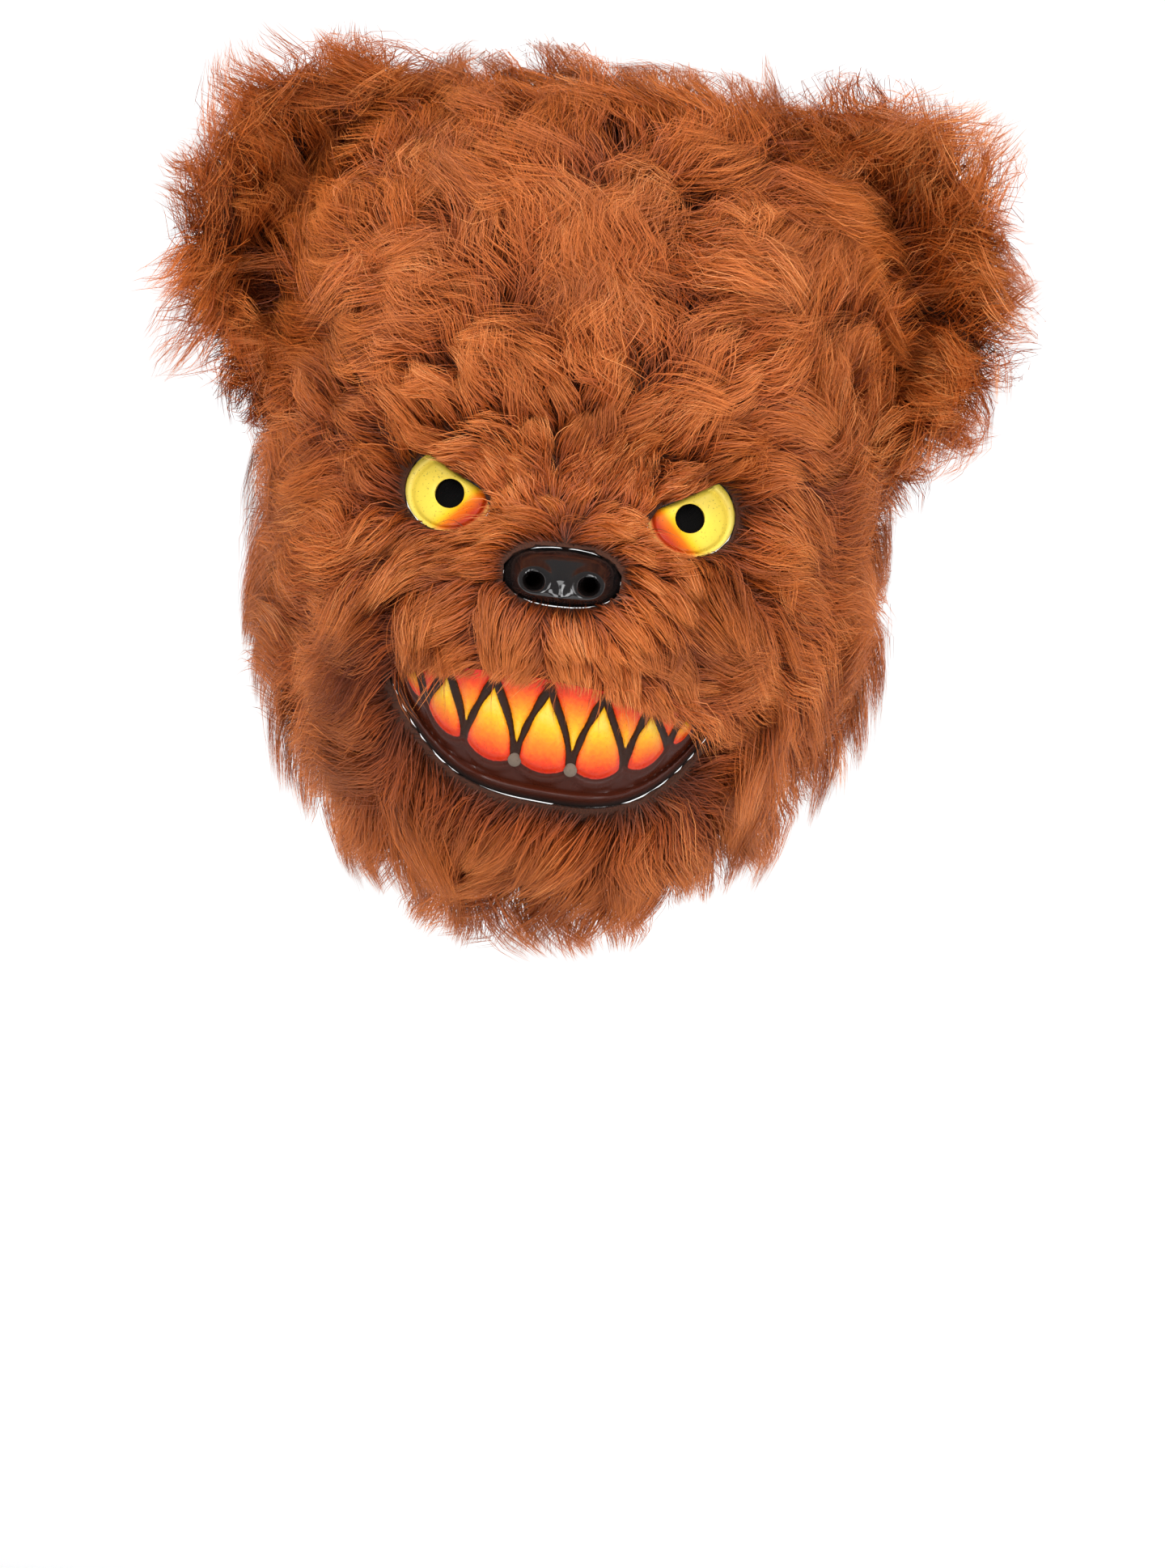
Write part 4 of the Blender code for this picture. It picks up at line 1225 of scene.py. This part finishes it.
def makeEarFur(side, where):
    generator = np.random.default_rng(furPlan["seed"] + (1 if side > 0 else 2))
    count = furPlan["earStrands"]
    depth = (generator.random(count) < earFur["frontShare"]).astype(float)
    u = generator.uniform(-1, 1, count)
    # Rows near the rim are longer, so they get more roots
    v = 2 * generator.random(count) ** 0.55 - 1
    place = generator.random(count)
    onRim, onEnd = place < earFur["rimShare"], place > 1 - earFur["endShare"]
    depth = np.where(onRim | onEnd, generator.random(count), depth)
    v = np.where(onRim, 1, v)
    end = np.sign(u)
    u = np.where(onEnd, end, u)
    step = 0.01
    roots = earPoint(side, u, v, depth)
    around = unit(earPoint(side, u + step, v, depth) - earPoint(side, u - step, v, depth))
    outwards = unit(earPoint(side, u, v + step, depth) - earPoint(side, u, v - step, depth))
    normals = unit(np.cross(around, outwards))
    facing = np.where(depth > 0.5, -1, 1)
    normals = normals * np.sign(normals[:, 1] * facing)[:, None]
    nearRim = smoothStep((v - 0.4) / 0.6)[:, None]
    normals = unit(normals + outwards * nearRim * 0.9)
    normals = np.where(onRim[:, None], unit(outwards + 0.4 * normals), normals)
    normals = np.where(onEnd[:, None], unit(around * end[:, None] + 0.5 * normals), normals)
    flows = outwards + around * (u * earFur["fan"])[:, None]
    scatter = earFur["scatter"] * generator.normal(size=(count, 3))
    flows = flows + (onRim | onEnd)[:, None] * scatter
    swirl = radians(24) * waveNoise(roots, 45 * mm, 9)
    flows = unit(flows - normals * np.sum(flows * normals, axis=-1, keepdims=True))
    flows = turned(flows, normals, swirl)
    share = smoothStep((v + 1) / 1.2)
    lengths = earFur["footLength"] + (earFur["length"] - earFur["footLength"]) * share
    if side > 0:
        lengths = lengths + earFur["rightTop"] * smoothStep(u + 0.4) * share
    lifts = np.full(count, earFur["lift"])
    rows, tones = growStrands(
        roots, normals, flows, lengths, lifts, generator, wispPull=earFur["wispPull"]
    )
    # The crease by the head is in shadow and its fur is painted darker, and the right ear's fur is painted
    # lighter as painted light
    tones = tones + 0.15 * (1 - share) + (earFur["rightEarPaintedLight"] if side > 0 else 0)
    rows, ends, kept = clearOfHead(rows)
    rows, normals, tones = resample(rows, ends)[kept], normals[kept], np.clip(tones[kept], 0, 1)
    addFur("fur_ear_" + where, rows, normals, tones, generator)


makeHeadFur()
for earSide, earWhere in ((1, "right"), (-1, "left")):
    makeEarFur(earSide, earWhere)
print("fur made")


# Head band

bandSizes = {
    "width": 22 * mm,
    "wall": 1.2 * mm,
    "level": 12 * mm,
    "back": 100 * mm,
    "endAngle": radians(22),
    "inset": 2.0 * mm,
    "steps": 160,
    "rows": 12,
}


def bandPoint(angle, z):
    # Inside the shell's sides and round behind the head, angle 0 at +X and 90 degrees at +Y
    power, inset = headForm["planBoxiness"], bandSizes["inset"]
    depth = np.where(np.sin(angle) > 0, bandSizes["back"], headForm["frontDepth"]) - inset
    across = np.abs(np.cos(angle)) / (headForm["halfWidth"] - inset)
    reach = (across**power + (np.abs(np.sin(angle)) / depth) ** power) ** (-1 / power)
    taper = 1 / fromMiddle(1, z / formHeight(z))
    return np.stack([np.cos(angle) * reach * taper, np.sin(angle) * reach, z], axis=-1)


def makeBand():
    steps, rows = bandSizes["steps"], bandSizes["rows"]
    u = np.tile(np.linspace(-1, 1, steps + 1), rows + 1)
    v = np.repeat(np.linspace(-0.5, 0.5, rows + 1), steps + 1)
    angle = pi / 2 + u * (pi / 2 + bandSizes["endAngle"])
    points = bandPoint(angle, bandSizes["level"] + v * bandSizes["width"])
    # Five ribs of elastic run along the band
    inwards = unit(np.stack([-np.cos(angle), -np.sin(angle), np.zeros_like(u)], axis=-1))
    points = points + inwards * (0.12 * mm * (1 - np.cos(v * 12 * pi)))[:, None]
    material = makeWoven(
        "elasticBand", screenColour(34, 32, 34), screenColour(10, 10, 12), 3200.0, 0.85
    )
    band = addPiece("elastic_band", points, gridFaces(steps, rows), material)
    # The sheet's faces look outwards, so its wall goes in
    outward = sum(face.area * face.normal.dot(face.center) for face in band.data.polygons)
    if outward < 0:
        band.data.flip_normals()
    thicken(band, bandSizes["wall"] * 0.8)
    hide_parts("head_band")


makeBand()


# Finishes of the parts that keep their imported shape

def wear(material, *names):
    for name in names:
        part = bpy.data.objects[name]
        if not part.material_slots:
            part.data.materials.append(material)
        for slot in part.material_slots:
            slot.material = material


wear(makePlastic("shellPlastic", screenColour(36, 24, 20), 0.35, 0.1, 0.3, 0.2, 0.1), "face_shell")
screenMesh = makeWoven("eyeScreen", screenColour(9, 8, 8), screenColour(1, 1, 1), 9000.0, 0.9)
screenMesh.node_tree.nodes["Principled BSDF"].inputs["Specular IOR Level"].default_value = 0.08
wear(screenMesh, "eye_screen_left", "eye_screen_right")
rivetSteel = makePlastic("rivetSteel", screenColour(176, 176, 178), 0.25, 0.0, 0.15, 0.1, 0.05)
rivetSteel.node_tree.nodes["Principled BSDF"].inputs["Metallic"].default_value = 1.0
wear(rivetSteel, "rivet_left", "rivet_right")


# Stage, lights and camera

stagePlan = {
    "floor": -0.42,
    "wall": 9.0,
    "bend": 1.5,
    "halfWidth": 40.0,
    "front": -40.0,
    "height": 9.0,
    "glow": 0.62,
    "glowStart": 0.5,
    "glowFull": 1.5,
}


def makeStage():
    profile = [(stagePlan["front"], stagePlan["floor"])]
    for n in range(13):
        angle = pi / 2 * n / 12
        y = stagePlan["wall"] - stagePlan["bend"] + stagePlan["bend"] * sin(angle)
        profile.append((y, stagePlan["floor"] + stagePlan["bend"] * (1 - cos(angle))))
    profile.append((stagePlan["wall"], stagePlan["height"]))
    points = [(side * stagePlan["halfWidth"], y, z) for y, z in profile for side in (-1, 1)]
    faces = [(2 * n, 2 * n + 1, 2 * n + 3, 2 * n + 2) for n in range(len(profile) - 1)]
    mesh = bpy.data.meshes.new("studio_floor")
    mesh.from_pydata(points, [], faces)
    mesh.shade_smooth()
    floor = bpy.data.objects.new("studio_floor", mesh)
    scene.collection.objects.link(floor)
    material, tree, shader = newMaterial("palePaper")
    grain = addGroup(
        tree, mottleGroup, Colour=(0.86, 0.86, 0.87, 1), Cloud_Scale=2.0, Cloud_Depth=0.02,
        Speck_Scale=900.0, Speck_Depth=0.01, Roughness=0.7,
    )
    finishWith(tree, shader, grain, 0.02, 0.0005)
    # The softboxes don't reach the far parts, which are lit as a light tent is
    place = readPlace(tree)
    away = addNode(tree, "ShaderNodeVectorMath", {0: place}, operation="LENGTH")
    glow = addNode(
        tree, "ShaderNodeMapRange",
        {
            "Value": away.outputs["Value"],
            "From Min": stagePlan["glowStart"],
            "From Max": stagePlan["glowFull"],
            "To Max": stagePlan["glow"],
        },
    )
    shader.inputs["Emission Color"].default_value = (1, 1, 1, 1)
    tree.links.new(glow.outputs["Result"], shader.inputs["Emission Strength"])
    mesh.materials.append(material)


def addSoftbox(name, place, size, power, target=(0, -0.1, 0)):
    light = bpy.data.lights.new(name, "AREA")
    light.shape = "RECTANGLE"
    light.size, light.size_y = size
    light.energy = power
    lamp = bpy.data.objects.new(name, light)
    scene.collection.objects.link(lamp)
    lamp.location = place
    lamp.rotation_euler = (Vector(target) - Vector(place)).to_track_quat("-Z", "Y").to_euler()


def addCamera():
    # The photograph leans, so the camera rolls and the mask stays upright
    roll, distance, frameWidth = radians(6), 3.5, 0.36
    right, up = Vector((cos(roll), 0, sin(roll))), Vector((-sin(roll), 0, cos(roll)))
    middle = Vector((0, -0.1, 0)) + right * 0.0039 - up * 0.08575
    data = bpy.data.cameras.new("photo_camera")
    data.sensor_fit = "HORIZONTAL"
    data.sensor_width = 36
    data.lens = 36 * distance / frameWidth
    camera = bpy.data.objects.new("photo_camera", data)
    scene.collection.objects.link(camera)
    turn = Matrix((right, up, Vector((0, -1, 0)))).transposed().to_4x4()
    camera.matrix_world = Matrix.Translation(middle - Vector((0, distance, 0))) @ turn
    scene.camera = camera


def lightRoom(strength):
    world = bpy.data.worlds.new("studio_light")
    world.use_nodes = True
    background = world.node_tree.nodes["Background"]
    background.inputs["Color"].default_value = (1, 1, 1, 1)
    background.inputs["Strength"].default_value = strength
    scene.world = world


makeStage()
addSoftbox("key_softbox", (-1.1, -1.7, 1.2), (1.0, 1.3), 34.5)
addSoftbox("fill_softbox", (1.5, -1.6, 0.5), (0.9, 1.4), 22.5)
addSoftbox("top_softbox", (0.2, -1.15, 1.55), (1.3, 0.8), 14)
lightRoom(0.27)
addCamera()
scene.view_settings.view_transform = "Standard"
print("stage made")
